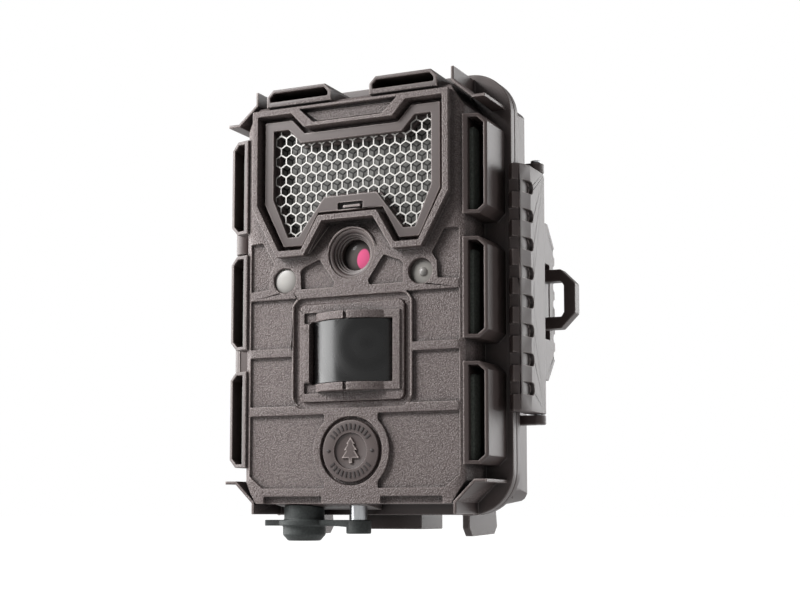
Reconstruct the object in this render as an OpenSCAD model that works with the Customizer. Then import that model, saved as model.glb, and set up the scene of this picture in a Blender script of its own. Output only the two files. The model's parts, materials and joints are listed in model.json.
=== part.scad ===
// Trail camera: a clamshell case that straps to a tree.
// The rear half holds the cells; the front half is the hinged door with the optics and boards.
// Every piece is laid out on the case: x to the right, y from the face towards the tree, z up
// from the lower edge of the parting flange. on_case() then puts the tripod socket's mouth at
// the origin.

/* [Case] */
// Width of the face between its side walls
face_w = 77.6; // [77:0.2:100]
// Height of the face
face_h = 130.5; // [130:0.5:170]
// Depth of the door from its face to the flange
door_d = 17.5; // [17:0.5:24]
// Depth of the rear shell behind the flange
rear_d = 22; // [21:0.5:34]
// Wall thickness of both shells
wall = 2.4; // [1.8:0.1:3]
// Thickness of each flange
flange_t = 3.1; // [2.6:0.1:5]
// How far the flange stands out past the side walls of the door
flange_out = 9.2; // [9:0.1:12]
// Corner radius of the flange
flange_r = 14; // [10:1:16]
// Gap between the two flanges, bridged by the seal
parting_gap = 0.3; // [0.2:0.05:0.5]

/* [Guards and fins] */
// Height of each side guard
guard_h = 31.5; // [24:0.5:32]
// Gap between side guards
guard_gap = 7.1; // [4:0.1:10]
// How far a side guard stands out from the wall
guard_out = 7; // [5:0.1:8]
// Wall thickness of the guards
guard_wall = 1.2; // [0.8:0.1:1.6]
// Width of each top guard
top_guard_w = 23.6; // [16:0.2:25]
// Height of each top guard
top_guard_h = 5.2; // [4:0.1:7]
// Distance between the two top guards
top_guard_gap = 13.8; // [8:0.2:18]
// Thickness of the corner fins
fin_t = 1; // [0.8:0.1:1.4]

/* [Infrared window] */
// Width of the bezel round the mesh
bezel_w = 62.6; // [60:0.2:64]
// Width of the bezel's rail
bezel_rail = 3.1; // [2.4:0.1:4]
// Depth of the groove round the bezel
bezel_groove_d = 2.6; // [2:0.1:3]
// Distance across the flats of one mesh cell
mesh_pitch = 3.75; // [3:0.05:6]
// Thickness of the mesh wires
mesh_wire = 0.45; // [0.4:0.05:0.8]
// Distance from the top of the face to the top of the bezel
bezel_drop = 5.5; // [5:0.1:8]
// How far the ledge round the bezel stands out of the face
ledge_out = 3.2; // [2:0.1:4]

/* [Camera lens] */
// Outer diameter of the lens ring
lens_ring_d = 16; // [15:0.5:18]
// Diameter of the front glass
lens_glass_d = 10; // [7:0.5:11]
// Distance from the top of the face down to the lens
lens_drop = 51; // [50:0.5:54]

/* [Round windows] */
// Diameter of each round window
window_d = 8.1; // [6:0.1:9]
// Distance of each window from the middle
window_x = 24.1; // [22:0.1:26]
// Distance from the top of the face down to the windows
window_drop = 58.3; // [56:0.1:60]

/* [Motion sensor] */
// Width of the sensor window
pir_w = 29.6; // [24:0.2:31]
// Height of the sensor window
pir_h = 20; // [16:0.5:21]
// Radius of the window's curve
pir_r = 20; // [19:0.5:60]
// How far the middle of the window stands out of the face
pir_out = 4; // [2:0.1:5]
// Height of the middle of the window above the flange's lower edge
pir_z = 51.6; // [50:0.2:54]

/* [Badge] */
// Diameter of the blank badge
badge_d = 19.6; // [14:0.2:20]
// Height of the badge's middle above the flange's lower edge
badge_z = 20.1; // [19:0.1:21]

/* [Latch] */
// Length of the latch lever
latch_h = 78; // [60:1:84]
// Thickness of the lever
latch_t = 5.4; // [5:0.1:7]
// Number of finger notches
latch_notches = 8; // [4:1:8]
// Distance between finger notches
latch_pitch = 9.1; // [8:0.1:9.5]
// Diameter of the latch pin
latch_pin_d = 2; // [1.6:0.1:2.6]

/* [Hinge] */
// Diameter of the hinge pin
hinge_pin_d = 3; // [2:0.1:3.4]
// Outer diameter of the hinge knuckles
knuckle_d = 6.4; // [5.6:0.1:7]
// Length of the row of knuckles
hinge_h = 68; // [50:1:90]

/* [Batteries] */
// Diameter of one cell
cell_d = 14.2; // [13.5:0.1:14.5]
// Length of one cell
cell_l = 50; // [44:0.5:51]

/* [Tripod socket] */
// Bore of the threaded insert, for a quarter-inch camera screw
tripod_bore_d = 6.4; // [5:0.1:6.6]
// Outer diameter of the insert
insert_d = 9; // [8:0.1:11]
// Length of the insert
insert_l = 9; // [7:0.5:10]
// How far the boss stands below the flange
boss_drop = 4.6; // [4:0.1:8]

/* [Keys and switch] */
// Diameter of each key
key_d = 7; // [5:0.1:8]
// Travel of each key
key_travel = 0.8; // [0.5:0.1:1]
// Travel of the power switch to each side
switch_travel = 3; // [2:0.5:4]

/* [Strap and lock] */
// Width of the strap that the rail slots take
strap_w = 26; // [20:1:30]
// Width of each tree rail
rail_w = 7; // [6:0.5:9]
// Length of each tree rail
rail_h = 54.6; // [46:0.2:60]
// Hole height in the lock loop
loop_hole = 12; // [8:0.5:14]

/* [Hidden] */
$fn = 48;

taupe = [0.50, 0.45, 0.43];
taupe_smooth = [0.54, 0.50, 0.48];
steel = [0.75, 0.76, 0.78];
brass = [0.80, 0.66, 0.35];
board_green = [0.10, 0.33, 0.20];
dark = [0.12, 0.12, 0.13];
rubber = [0.17, 0.18, 0.18];
grey = [0.48, 0.48, 0.47];

eps = 0.5;
seat = 0.05;
run = 0.04;

// Case levels
face_z0 = 3.5;
face_top = face_z0 + face_h;
face_hw = face_w / 2;
mid_z = face_z0 + face_h / 2;
corner_x = 4.4;
corner_z = 7;
flange_hw = face_hw + flange_out;
flange_top = face_top + 7.5;
door_back = door_d + flange_t;
rear_front = door_back + parting_gap;
rear_y = rear_front + flange_t;
rear_back = rear_y + rear_d;
rear_hw = face_hw + 6.4;
rear_z0 = face_z0 - 0.5;
rear_top = face_top + 2;
rear_r = 9;
draft = 1.6;
cavity_hw = face_hw - wall;
tripod_y = rear_y + 9.8;

// Seal
seal_w = 2;
seal_d = 1.6;
seal_in = 1.5;

// Infrared window
bezel_hw = bezel_w / 2;
bezel_top = face_top - bezel_drop;
bezel_notch_d = 4.9;
bezel_leg_z = face_top - 47.4;
bezel_bend_z = face_top - 32.8;
bezel_floor = bezel_groove_d + 1.8;
bezel_out = 0.8;
groove_w = 1.6;
ledge_w = 2;
ledge_g = groove_w + ledge_w;
notch_z = bezel_top - bezel_notch_d;
mesh_y = 0.9;
mesh_t = 0.6;
filter_y = bezel_floor + 0.9;
led_board_y = filter_y + 4.6;

// Lens
lens_z = face_top - lens_drop;
lens_front = 0.6;
lens_ring_l = 7;
glass_y = 3.6;
hood_d = 3.6;

// Windows
window_z = face_top - window_drop;

// Motion sensor
pir_hw = pir_w / 2;
pir_frame_hw = pir_hw + 3.7;
pir_frame_h = pir_h + 11.4;
pir_groove = 2.1;
pir_well = 6;
pir_bar = 2.6;
pir_bar_x0 = -pir_hw + 2.6;
pir_bar_x1 = pir_hw + 2.6;

// Badge
badge_gap = 1.1;

// Hinge on the left, latch on the right
hinge_x = -flange_hw - knuckle_d / 2 - 0.1;
hinge_y = door_back + parting_gap / 2;
knuckles = 5;
knuckle_pitch = hinge_h / knuckles;
knuckle_gap = 0.4;
latch_in = flange_hw + 0.6;
latch_z0 = mid_z - 36.8;
latch_front = door_d - 5.5;
latch_pin_x = latch_in + latch_t / 2;
latch_pin_y = rear_y + 7;
lug_h = 3;

// Rear fittings
rail_x = rear_hw - draft - rail_w;
rail_y1 = rear_back + 25.5;
rail_mid_z = mid_z + 4.4;
loop_z = rail_mid_z - 1.2;
slot_y0 = rear_back + 14;
slot_d = 6;
loop_y0 = rear_back + 5;
loop_t = 4.6;
loop_out = 12.5;
loop_h = loop_hole + 8;
foot_x = 30.5;
foot_t = 2.4;
foot_drop = 6.8;
boss_w = 26.4;
boss_d = 17.5;

// Batteries
tray_wall = 1.4;
cell_gap = 0.4;
cell_pitch = cell_d + cell_gap;
contact_t = 0.4;
spring_l = 3.4;
nub_l = 1;
row_l = cell_l + nub_l + spring_l + 2 * contact_t + 0.2;
tray_w = 4 * cell_pitch + cell_gap + 2 * tray_wall;
tray_h = 2 * row_l + 3 * tray_wall;
tray_z0 = mid_z - tray_h / 2;
tray_y1 = rear_back - wall - 0.6;
tray_y0 = tray_y1 - cell_d - tray_wall - 1.2;
cell_y = tray_y1 - tray_wall - cell_d / 2 - 0.1;
ear_y = tray_y1 - 6;
ear_t = 2;
ear_x = 20;
ear_h = 4.5;
ear_z = [tray_z0 - 2.6, tray_z0 + tray_h + 2.6];

// Boards and inner panel
board_t = 1.6;
board_y = door_d - 6;
panel_t = 1.6;
panel_y = door_d - 0.3;
panel_hw = cavity_hw - 0.3;
panel_z0 = face_z0 + wall + 0.3;
panel_z1 = face_top - wall - 0.3;
board_hw = panel_hw - 0.6;
board_z0 = face_z0 + 14;
board_z1 = lens_z + 12;
board_hole_x = board_hw - 3.2;
board_hole_z = [board_z0 + 30, lens_z + 2];
post_d = 5.2;
post_x = cavity_hw - 3;
post_z = [face_z0 + wall + 8, face_top - wall - 8];
screw_d = 2.4;

// Keys, switch, screen and card
lcd_w = 34;
lcd_h = 24;
lcd_z = face_top - 34;
pad_x = 12;
pad_z = mid_z - 8;
pad_step = 10.5;
switch_x = -18;
switch_z = pad_z;
card_w = 24;
card_l = 32;
card_t = 2.1;
card_z = face_z0 + 28;
card_x1 = cavity_hw - 6;
card_y = board_y + board_t + 0.9;

// Ports under the case
port_x = -21.8;
port_y = 10;
floor_y0 = port_y - 6.5;
floor_y1 = port_y + 7;
floor_z1 = 1.6;
post_out_x = -2;
collar_d = 9;
collar_l = 6.4;
cover_d = 13.9;
cover_gap = 0.15;
panel_depth = 1.25;
leash_d = 5.6;
leash_l = 5.2;

// ---- helpers ----

// Puts a piece drawn on the case into the part's frame
module on_case() {
    translate([0, -tripod_y, boss_drop])
        children();
}

// Extrudes a front view, x across and z up, from depth y0 to y1
module front_view(y0, y1) {
    translate([0, y1, 0])
        rotate([90, 0, 0])
            linear_extrude(y1 - y0)
                children();
}

// Extrudes a side view, y across and z up, from x0 to x1
module side_view(x0, x1) {
    translate([x0, 0, 0])
        rotate([90, 0, 90])
            linear_extrude(x1 - x0)
                children();
}

module both_sides() {
    children();
    mirror([1, 0, 0])
        children();
}

// A cylinder along y
module rod_y(x, z, y0, y1, d) {
    translate([x, y1, z])
        rotate([90, 0, 0])
            cylinder(d = d, h = y1 - y0);
}

module rounded_rect(hw, z0, z1, r) {
    translate([-hw + r, z0])
        square([2 * (hw - r), z1 - z0]);
    translate([-hw, z0 + r])
        square([2 * hw, z1 - z0 - 2 * r]);
    for (x = [-hw + r, hw - r], z = [z0 + r, z1 - r])
        translate([x, z])
            circle(r = r);
}

// Mirrors the right half of an outline, given from its top middle to its bottom middle
function mirror_outline(half) =
    concat(half, [for (i = [len(half) - 1:-1:0]) [-half[i][0], half[i][1]]]);

module face_outline(grow = 0) {
    hw = face_hw + grow;
    polygon(mirror_outline([
        [hw - corner_x, face_top + grow], [hw, face_top + grow - corner_z],
        [hw, face_z0 - grow + corner_z], [hw - corner_x, face_z0 - grow]
    ]));
}

module flange_outline(inset = 0) {
    rounded_rect(flange_hw - inset, inset, flange_top - inset, flange_r - inset);
}

// The infrared window's outline, grown outwards by g
module led_outline(g) {
    slant = g * 0.45;
    arch = g < 0 ? 1.58 : 0.87;
    polygon(mirror_outline([
        [bezel_hw - 14.7 - slant, bezel_top - bezel_notch_d + g],
        [bezel_hw - 10.1 - slant, bezel_top + g],
        [bezel_hw + g, bezel_top + g],
        [bezel_hw + g, bezel_bend_z - slant],
        [bezel_hw - 7.2 + slant, bezel_leg_z - g],
        [bezel_hw - 14 - slant, bezel_leg_z - g],
        [bezel_hw - 19.8 - abs(g) * 0.68, bezel_leg_z + 10.4 - g * arch]
    ]));
}

// The sloping recess under the window's arch, open towards the lens
module hood_outline(grow = 0) {
    polygon(mirror_outline([
        [bezel_hw - 19.8 - ledge_g * 0.68 + grow, bezel_leg_z + 10.4 - ledge_g * 0.87 + grow],
        [bezel_hw - 14 - ledge_g * 0.45 - 0.4 + grow, lens_z + 0.8 - grow]
    ]));
}

module name_plate_outline(inset = 0) {
    polygon(mirror_outline([
        [17.4 - inset * 2, bezel_top + 2.6 - inset], [12.2 - inset * 0.6, notch_z + groove_w + 1.1 + inset]
    ]));
}

// ---- door ----

module side_guard(z) {
    c = 2.6;
    in = guard_wall;
    translate([face_hw - 0.6, 0, z - guard_h / 2])
        difference() {
            front_view(0, door_d + eps)
                polygon([[0, 0], [guard_out + 0.6 - c, 0], [guard_out + 0.6, c],
                    [guard_out + 0.6, guard_h - c], [guard_out + 0.6 - c, guard_h], [0, guard_h]]);
            front_view(-1, door_d)
                polygon([[0.6 + in, in], [guard_out + 0.1 - c, in], [guard_out + 0.6 - in, c + 0.4],
                    [guard_out + 0.6 - in, guard_h - c - 0.4], [guard_out + 0.1 - c, guard_h - in],
                    [0.6 + in, guard_h - in]]);
            translate([0.6, 0, -1])
                linear_extrude(guard_h + 2)
                    polygon([[0, 0], [guard_out + 1, 2.6], [guard_out + 1, -1], [0, -1]]);
        }
}

module top_guard() {
    c = 2.2;
    in = guard_wall;
    translate([top_guard_gap / 2, 0, face_top - 0.6])
        difference() {
            front_view(-1.4, door_d + eps)
                polygon([[0, 0], [top_guard_w, 0], [top_guard_w, top_guard_h + 0.6 - c],
                    [top_guard_w - c, top_guard_h + 0.6], [c, top_guard_h + 0.6],
                    [0, top_guard_h + 0.6 - c]]);
            front_view(-2, door_d)
                polygon([[in, 0.6 + in], [top_guard_w - in, 0.6 + in],
                    [top_guard_w - in, top_guard_h + 0.2 - c], [top_guard_w - c - 0.4, top_guard_h + 0.6 - in],
                    [c + 0.4, top_guard_h + 0.6 - in], [in, top_guard_h + 0.2 - c]]);
        }
}

// One bent corner fin, from the upright tip round to the level tip
module corner_fin() {
    front_view(0, door_d + eps)
        polygon([[face_hw - 3.2, 5.6], [face_hw - 3.2, 1.4], [face_hw + 3.4, -4.3], [face_hw + 7.2, -4.3],
            [face_hw + 7.2, -4.3 - fin_t], [face_hw + 3, -4.3 - fin_t], [face_hw - 3.2 - fin_t, 1],
            [face_hw - 3.2 - fin_t, 5.6]]);
}

module corner_fins() {
    both_sides() {
        translate([0, 0, face_top])
            corner_fin();
        translate([0, 0, face_z0])
            mirror([0, 0, 1])
                front_view(0, door_d + eps)
                    polygon([[face_hw - 2.8, 3.3], [face_hw - 2.8, -0.3], [face_hw + 3.4, -6.4],
                        [face_hw + 7.2, -6.4], [face_hw + 7.2, -6.4 - fin_t], [face_hw + 3, -6.4 - fin_t],
                        [face_hw - 2.8 - fin_t, -0.7], [face_hw - 2.8 - fin_t, 3.3]]);
    }
}

// Outlines of the shallow panels moulded into the right half of the face
module face_panels() {
    edge = face_hw - 1.9;
    z_up = lens_z;
    translate([0, z_up])
        polygon([[edge, 5.4], [32.3, 5.6], [28, -1.7], [window_x + 5.6, -4.4], [window_x + 5.9, -9.8], [edge, -10.4]]);
    translate([0, z_up])
        polygon([[11.4, -1.2], [window_x - 7.1, -3.4], [window_x - 5.8, -4.6], [window_x - 6, -10.5],
            [6.5, -10.5], [6, -8.9]]);
    polygon([[edge, pir_z + 2], [pir_frame_hw + 2.9, pir_z + 2], [pir_frame_hw + 2.9, pir_z + 15.6],
        [pir_frame_hw + 1, pir_z + 18], [edge, pir_z + 18]]);
    polygon([[edge, pir_z - 0.8], [pir_frame_hw + 2.9, pir_z - 0.8], [pir_frame_hw + 2.9, pir_z - 14.4],
        [pir_frame_hw + 1, pir_z - 16.8], [edge, pir_z - 16.8]]);
    difference() {
        polygon([[edge, badge_z + 11.7], [9.5, badge_z + 11.7], [9.5, badge_z - 11.7], [edge - 5, badge_z - 11.7],
            [edge, badge_z - 7.7]]);
        translate([0, badge_z])
            circle(d = badge_d + 7.4);
    }
}

// One knuckle and the arm that carries it on the flange between y0 and y1
module hinge_knuckle(index, y0, y1) {
    z0 = mid_z - hinge_h / 2 + index * knuckle_pitch + knuckle_gap / 2;
    h = knuckle_pitch - knuckle_gap;
    translate([hinge_x, hinge_y, z0])
        cylinder(d = knuckle_d, h = h);
    translate([hinge_x, y0, z0])
        cube([knuckle_d / 2 + 2, y1 - y0, h]);
}

module hinge_bore() {
    translate([hinge_x, hinge_y, mid_z - hinge_h / 2 - 1])
        cylinder(d = hinge_pin_d + 2 * run, h = hinge_h + 2);
}

module screw_posts(y0, y1, d) {
    for (x = [-post_x, post_x], z = post_z)
        rod_y(x, z, y0, y1, d);
}

module front_housing() {
    color(taupe)
        on_case()
            difference() {
                union() {
                    difference() {
                        union() {
                            front_view(0, door_d + eps)
                                face_outline();
                            front_view(door_d, door_back)
                                flange_outline();
                        }
                        front_view(wall, door_back + 1)
                            face_outline(-wall);
                        both_sides()
                            translate([face_hw, 0, face_z0 - 1])
                                linear_extrude(face_h + 2)
                                    polygon([[-2.6, 0], [0.2, 1.4], [0.2, -1], [-2.6, -1]]);
                        side_view(-face_hw - 1, face_hw + 1)
                            polygon([[0, face_top - 1.5], [1.1, face_top + 0.1], [-1, face_top + 0.1],
                                [-1, face_top - 1.5]]);
                    }
                    front_view(-ledge_out, 1) {
                        led_outline(ledge_g);
                        translate([-22, notch_z])
                            square([44, bezel_notch_d + ledge_g]);
                    }
                    front_view(wall - 0.2, hood_d + 2)
                        hood_outline(1.4);
                    intersection() {
                        front_view(0.2, bezel_floor)
                            led_outline(groove_w + 1.8);
                        front_view(0, bezel_floor)
                            face_outline(-0.5);
                    }
                    front_view(1, pir_well + 1)
                        rounded_rect(pir_frame_hw + 1.8, pir_z - pir_frame_h / 2 - 1.8,
                            pir_z + pir_frame_h / 2 + 1.8, 3);
                    rod_y(0, lens_z, wall - 0.2, 8, lens_ring_d + 2.4);
                    for (x = [-window_x, window_x])
                        rod_y(x, window_z, 0.5, 5, window_d + 3);
                    rod_y(0, badge_z, 1, 3.4, badge_d + 4);
                    screw_posts(wall - 0.2, panel_y - 0.1, post_d);
                    for (x = [-board_hole_x, board_hole_x], z = board_hole_z)
                        rod_y(x, z, wall - 0.2, board_y - seat, 5);
                    for (z = [mid_z - guard_h - guard_gap, mid_z, mid_z + guard_h + guard_gap])
                        translate([0, 0, 0.9])
                            both_sides()
                                side_guard(z);
                    both_sides()
                        top_guard();
                    corner_fins();
                    for (i = [1:2:knuckles - 1])
                        hinge_knuckle(i, door_d, door_back);
                    side_view(port_x - 8, post_out_x + 5)
                        polygon([[floor_y0, face_z0 + wall], [floor_y1, face_z0 + wall], [floor_y1, floor_z1],
                            [floor_y0, face_z0]]);
                }
                front_view(-ledge_out - 1, bezel_groove_d)
                    led_outline(groove_w);
                front_view(-ledge_out - 1, -1.2)
                    name_plate_outline();
                front_view(-2, -0.4)
                    difference() {
                        name_plate_outline();
                        name_plate_outline(0.8);
                    }
                front_view(-1, bezel_floor + 1)
                    led_outline(-bezel_rail - 0.8);
                difference() {
                    intersection() {
                        front_view(-1, hood_d)
                            hood_outline();
                        side_view(-20, 20)
                            polygon([[-1, bezel_leg_z + 11], [hood_d + 0.4, bezel_leg_z + 11], [0, lens_z + 0.8],
                                [-1, lens_z + 0.8]]);
                    }
                    rod_y(0, lens_z, 0, 9, lens_ring_d + 1.6);
                }
                front_view(-1, panel_depth) {
                    face_panels();
                    mirror([1, 0])
                        face_panels();
                }
                rod_y(0, lens_z, -2, 9, lens_ring_d + 2 * seat);
                for (x = [-window_x, window_x]) {
                    rod_y(x, window_z, -1, 6, window_d - 1.6);
                    rod_y(x, window_z, -1, 2.6, window_d + 2 * seat);
                }
                front_view(-1, 1.2)
                    rounded_rect(pir_frame_hw + pir_groove, pir_z - pir_frame_h / 2 - pir_groove,
                        pir_z + pir_frame_h / 2 + pir_groove, 3.4);
                front_view(-1, pir_well)
                    rounded_rect(pir_frame_hw + seat, pir_z - pir_frame_h / 2 - seat,
                        pir_z + pir_frame_h / 2 + seat, 2);
                rod_y(0, pir_z, 0, pir_well + 2, 11);
                rod_y(0, badge_z, -1, 1.8, badge_d + 2 * badge_gap);
                both_sides()
                    front_view(-1, 2)
                        translate([10.4, face_z0 - 1])
                            square([21, 3.3]);
                screw_posts(panel_y - 7, panel_y + 1, screw_d - 0.5);
                for (x = [-board_hole_x, board_hole_x], z = board_hole_z)
                    rod_y(x, z, board_y - 5.5, board_y + 1, screw_d - 0.5);
                hinge_bore();
                for (x = [port_x, post_out_x])
                    translate([x, port_y, -2])
                        cylinder(d = x == port_x ? collar_d + 2 * seat : leash_d + 2 * seat, h = wall + 8);
            }
}

module led_bezel() {
    color(taupe_smooth)
        on_case()
            difference() {
                front_view(-bezel_out, bezel_groove_d - seat / 2)
                    led_outline(0);
                front_view(-bezel_out - 1, bezel_groove_d + 1)
                    led_outline(-bezel_rail);
                front_view(-bezel_out - 1, 0.6)
                    difference() {
                        translate([-4.4, bezel_leg_z + 10.7])
                            square([8.8, 2.2]);
                        translate([-2.6, bezel_leg_z + 11.2])
                            square([6.2, 0.8]);
                    }
            }
}

// Wire mesh of pointed hexagons, welded flat behind the bezel
module led_mesh() {
    row = mesh_pitch * sin(60);
    cells_x = ceil(bezel_hw / mesh_pitch);
    cells_z = ceil(44 / row);
    cell_r = (mesh_pitch - mesh_wire) / 2 / cos(30);
    color(steel)
        on_case()
            front_view(mesh_y, mesh_y + mesh_t)
                intersection() {
                    led_outline(-bezel_rail - seat);
                    difference() {
                        led_outline(-bezel_rail - seat);
                        for (j = [0:cells_z], i = [-cells_x:cells_x])
                            translate([(i + (j % 2) / 2) * mesh_pitch, bezel_top - j * row])
                                rotate(30)
                                    circle(r = cell_r, $fn = 6);
                    }
                }
}

module led_filter() {
    color(grey)
        on_case()
            front_view(bezel_floor + seat, filter_y + 0.4)
                led_outline(-1.8);
}

// Centres of the infrared emitters, in three rows
function led_spots() = [for (j = [0:2], i = [-3:3]) if (j < 2 || abs(i) > 1)
    [i * 7.2, bezel_top - 9.5 - j * 9]];

module led_board() {
    color(board_green)
        on_case()
            difference() {
                front_view(led_board_y, led_board_y + board_t)
                    led_outline(-1.2);
                for (s = led_spots(), dx = [-1.27, 1.27])
                    rod_y(s[0] + dx, s[1], led_board_y - 1, led_board_y + board_t + 1, 0.8);
            }
}

module ir_leds() {
    color([0.85, 0.87, 0.9])
        on_case()
            for (s = led_spots())
                translate([s[0], led_board_y - seat, s[1]])
                    rotate([90, 0, 0]) {
                        cylinder(d = 5.6, h = 0.8);
                        cylinder(d = 4.8, h = 2);
                        intersection() {
                            translate([0, 0, 1.6])
                                sphere(d = 4.8);
                            cylinder(d = 4.8, h = 3.6);
                        }
                    }
}

module lens_ring() {
    r = lens_ring_d / 2;
    g = lens_glass_d / 2;
    step = (r - 1.2 - g) / 3;
    color(taupe_smooth)
        on_case()
            translate([0, lens_front, lens_z])
                rotate([-90, 0, 0])
                    rotate_extrude()
                        polygon([[r, 0], [r, lens_ring_l], [g - 0.8, lens_ring_l], [g - 0.8, glass_y + 1.3],
                            [g + 0.05, glass_y + 1.3], [g + 0.05, glass_y - 0.7],
                            [g + step, glass_y - 0.7], [g + step, glass_y - 1.6],
                            [g + 2 * step, glass_y - 1.6], [g + 2 * step, 1.1], [g + 3 * step, 1.1],
                            [g + 3 * step, 0.4], [r - 0.7, 0]]);
}

module lens_glass() {
    color([0.55, 0.35, 0.42])
        on_case()
            translate([0, lens_front + glass_y, lens_z])
                rotate([-90, 0, 0])
                    intersection() {
                        cylinder(d = lens_glass_d, h = 1.25);
                        translate([0, 0, 15])
                            sphere(r = 15, $fn = 96);
                    }
}

module lens_barrel() {
    color(dark)
        on_case()
            difference() {
                union() {
                    rod_y(0, lens_z, lens_front + lens_ring_l + seat, board_y - seat, 12);
                    rod_y(0, lens_z, lens_front + glass_y + 1.4, lens_front + lens_ring_l + 1,
                        lens_glass_d - 1.7);
                }
                rod_y(0, lens_z, 0, board_y - 1.5, lens_glass_d - 4);
                rod_y(0, lens_z, board_y - 1.6, board_y, 8);
            }
}

module image_sensor() {
    color([0.1, 0.1, 0.2])
        on_case()
            translate([-2.6, board_y - 1.1, lens_z - 2])
                cube([5.2, 1.05, 4]);
}

module round_window(x, front, depth) {
    on_case()
        rod_y(x, window_z, front, front + depth, window_d);
}

module left_window() {
    color([0.85, 0.86, 0.88])
        round_window(-window_x, 0.5, 2);
}

module right_window() {
    color([0.75, 0.78, 0.80])
        round_window(window_x, 1.4, 1.1);
}

module light_sensor() {
    color([0.7, 0.6, 0.45])
        on_case()
            translate([-window_x - 2, 5.3, window_z - 2])
                cube([4, board_y - 5.35, 4]);
}

module status_led() {
    color([0.9, 0.9, 0.92])
        on_case()
            translate([window_x, board_y - seat, window_z])
                rotate([90, 0, 0]) {
                    cylinder(d = 3.8, h = 0.8);
                    cylinder(d = 3, h = board_y - 5);
                    translate([0, 0, board_y - 5])
                        sphere(d = 3);
                }
}

module pir_bezel() {
    hw = pir_frame_hw;
    h = pir_frame_h / 2;
    color(taupe)
        on_case()
            difference() {
                union() {
                    front_view(0.1, pir_well - seat)
                        rounded_rect(hw, pir_z - h, pir_z + h, 2);
                    intersection() {
                        translate([0, pir_r - pir_out - 0.5, pir_z - h])
                            cylinder(r = pir_r, h = 2 * h, $fn = 96);
                        front_view(-pir_out - 1, 3)
                            translate([pir_bar_x0, pir_z - pir_h / 2 - pir_bar])
                                square([pir_bar_x1 - pir_bar_x0, pir_h + 2 * pir_bar]);
                    }
                    front_view(-0.6, 1)
                        translate([pir_hw - 4, pir_z - pir_h / 2 - pir_bar])
                            square([6.6, pir_h + 2 * pir_bar]);
                    front_view(-0.4, 1)
                        translate([-pir_hw - 2, pir_z - pir_h / 2 + 0.8])
                            square([2, pir_h - 1.6]);
                }
                for (z = [pir_z - pir_h / 2 - 3, pir_z + pir_h / 2 - 0.4])
                    front_view(-1, 1)
                        translate([-pir_hw - 2, z])
                            square([4.6, 3.4]);
                front_view(-pir_out - 2, -pir_out + 0.5)
                    translate([-0.6, pir_z - h])
                        square([1.2, 2 * h]);
                front_view(-pir_out - 2, pir_well + 1)
                    translate([-pir_hw - seat, pir_z - pir_h / 2 - seat])
                        square([pir_w + 2 * seat, pir_h + 2 * seat]);
            }
}

module pir_lens() {
    color(dark)
        on_case()
            difference() {
                intersection() {
                    translate([0, pir_r - pir_out, pir_z - pir_h / 2])
                        cylinder(r = pir_r, h = pir_h, $fn = 96);
                    front_view(-pir_out - 1, pir_well - 1)
                        translate([-pir_hw, pir_z - pir_h / 2])
                            square([pir_w, pir_h]);
                }
                translate([0, pir_r - pir_out + 1.2, pir_z - pir_h / 2 + 1.2])
                    cylinder(r = pir_r, h = pir_h - 2.4, $fn = 96);
            }
}

module pir_sensor() {
    color(steel)
        on_case() {
            rod_y(0, pir_z, 6.6, board_y - seat, 8.2);
            rod_y(0, pir_z, board_y - 0.9, board_y - seat, 9.2);
        }
}

// Blank badge: a raised rim, a flat field and a raised hub
module badge() {
    color(taupe_smooth)
        on_case()
            translate([0, 1.8 - seat, badge_z])
                rotate([90, 0, 0])
                    difference() {
                        cylinder(d = badge_d, h = 2);
                        difference() {
                            translate([0, 0, 1.5])
                                cylinder(d = badge_d - 1.8, h = 1);
                            cylinder(d = 12.2, h = 3);
                        }
                        translate([0, 0, 1.5])
                            cylinder(d = 10.4, h = 1);
                    }
}

module main_board() {
    color(board_green)
        on_case()
            difference() {
                front_view(board_y, board_y + board_t)
                    translate([-board_hw, board_z0])
                        square([2 * board_hw, board_z1 - board_z0]);
                for (x = [-board_hole_x, board_hole_x], z = board_hole_z)
                    rod_y(x, z, board_y - 1, board_y + board_t + 1, screw_d);
            }
}

module board_screws() {
    color(steel)
        on_case()
            for (x = [-board_hole_x, board_hole_x], z = board_hole_z) {
                rod_y(x, z, board_y - 5, board_y + board_t + 0.1, screw_d - 0.6);
                rod_y(x, z, board_y + board_t + 0.02, board_y + board_t + 1.2, 4);
            }
}

function key_spots() = [[0, pad_step], [0, -pad_step], [-pad_step, 0], [pad_step, 0], [0, 0]];

module inner_panel() {
    color([0.2, 0.2, 0.21])
        on_case()
            difference() {
                front_view(panel_y, panel_y + panel_t)
                    polygon(mirror_outline([
                        [panel_hw - corner_x, panel_z1], [panel_hw, panel_z1 - corner_z],
                        [panel_hw, panel_z0 + corner_z], [panel_hw - corner_x, panel_z0]
                    ]));
                front_view(panel_y - 1, panel_y + panel_t + 1)
                    translate([-lcd_w / 2 + 1.5, lcd_z - lcd_h / 2 + 1.5])
                        square([lcd_w - 3, lcd_h - 3]);
                for (s = key_spots())
                    rod_y(pad_x + s[0], pad_z + s[1], panel_y - 1, panel_y + panel_t + 1, key_d + 0.6);
                front_view(panel_y - 1, panel_y + panel_t + 1)
                    translate([switch_x - switch_travel - 3.4, switch_z - 2.4])
                        square([2 * switch_travel + 6.8, 4.8]);
                front_view(panel_y - 1, panel_y + panel_t + 1)
                    translate([card_x1 - 6, card_z - 7])
                        square([10, 14]);
                for (x = [-post_x, post_x], z = post_z)
                    rod_y(x, z, panel_y - 1, panel_y + panel_t + 1, screw_d + 0.4);
                for (s = contact_spots())
                    rod_y(s[0], s[1], panel_y - 1, panel_y + panel_t + 1, 3.2);
            }
}

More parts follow.
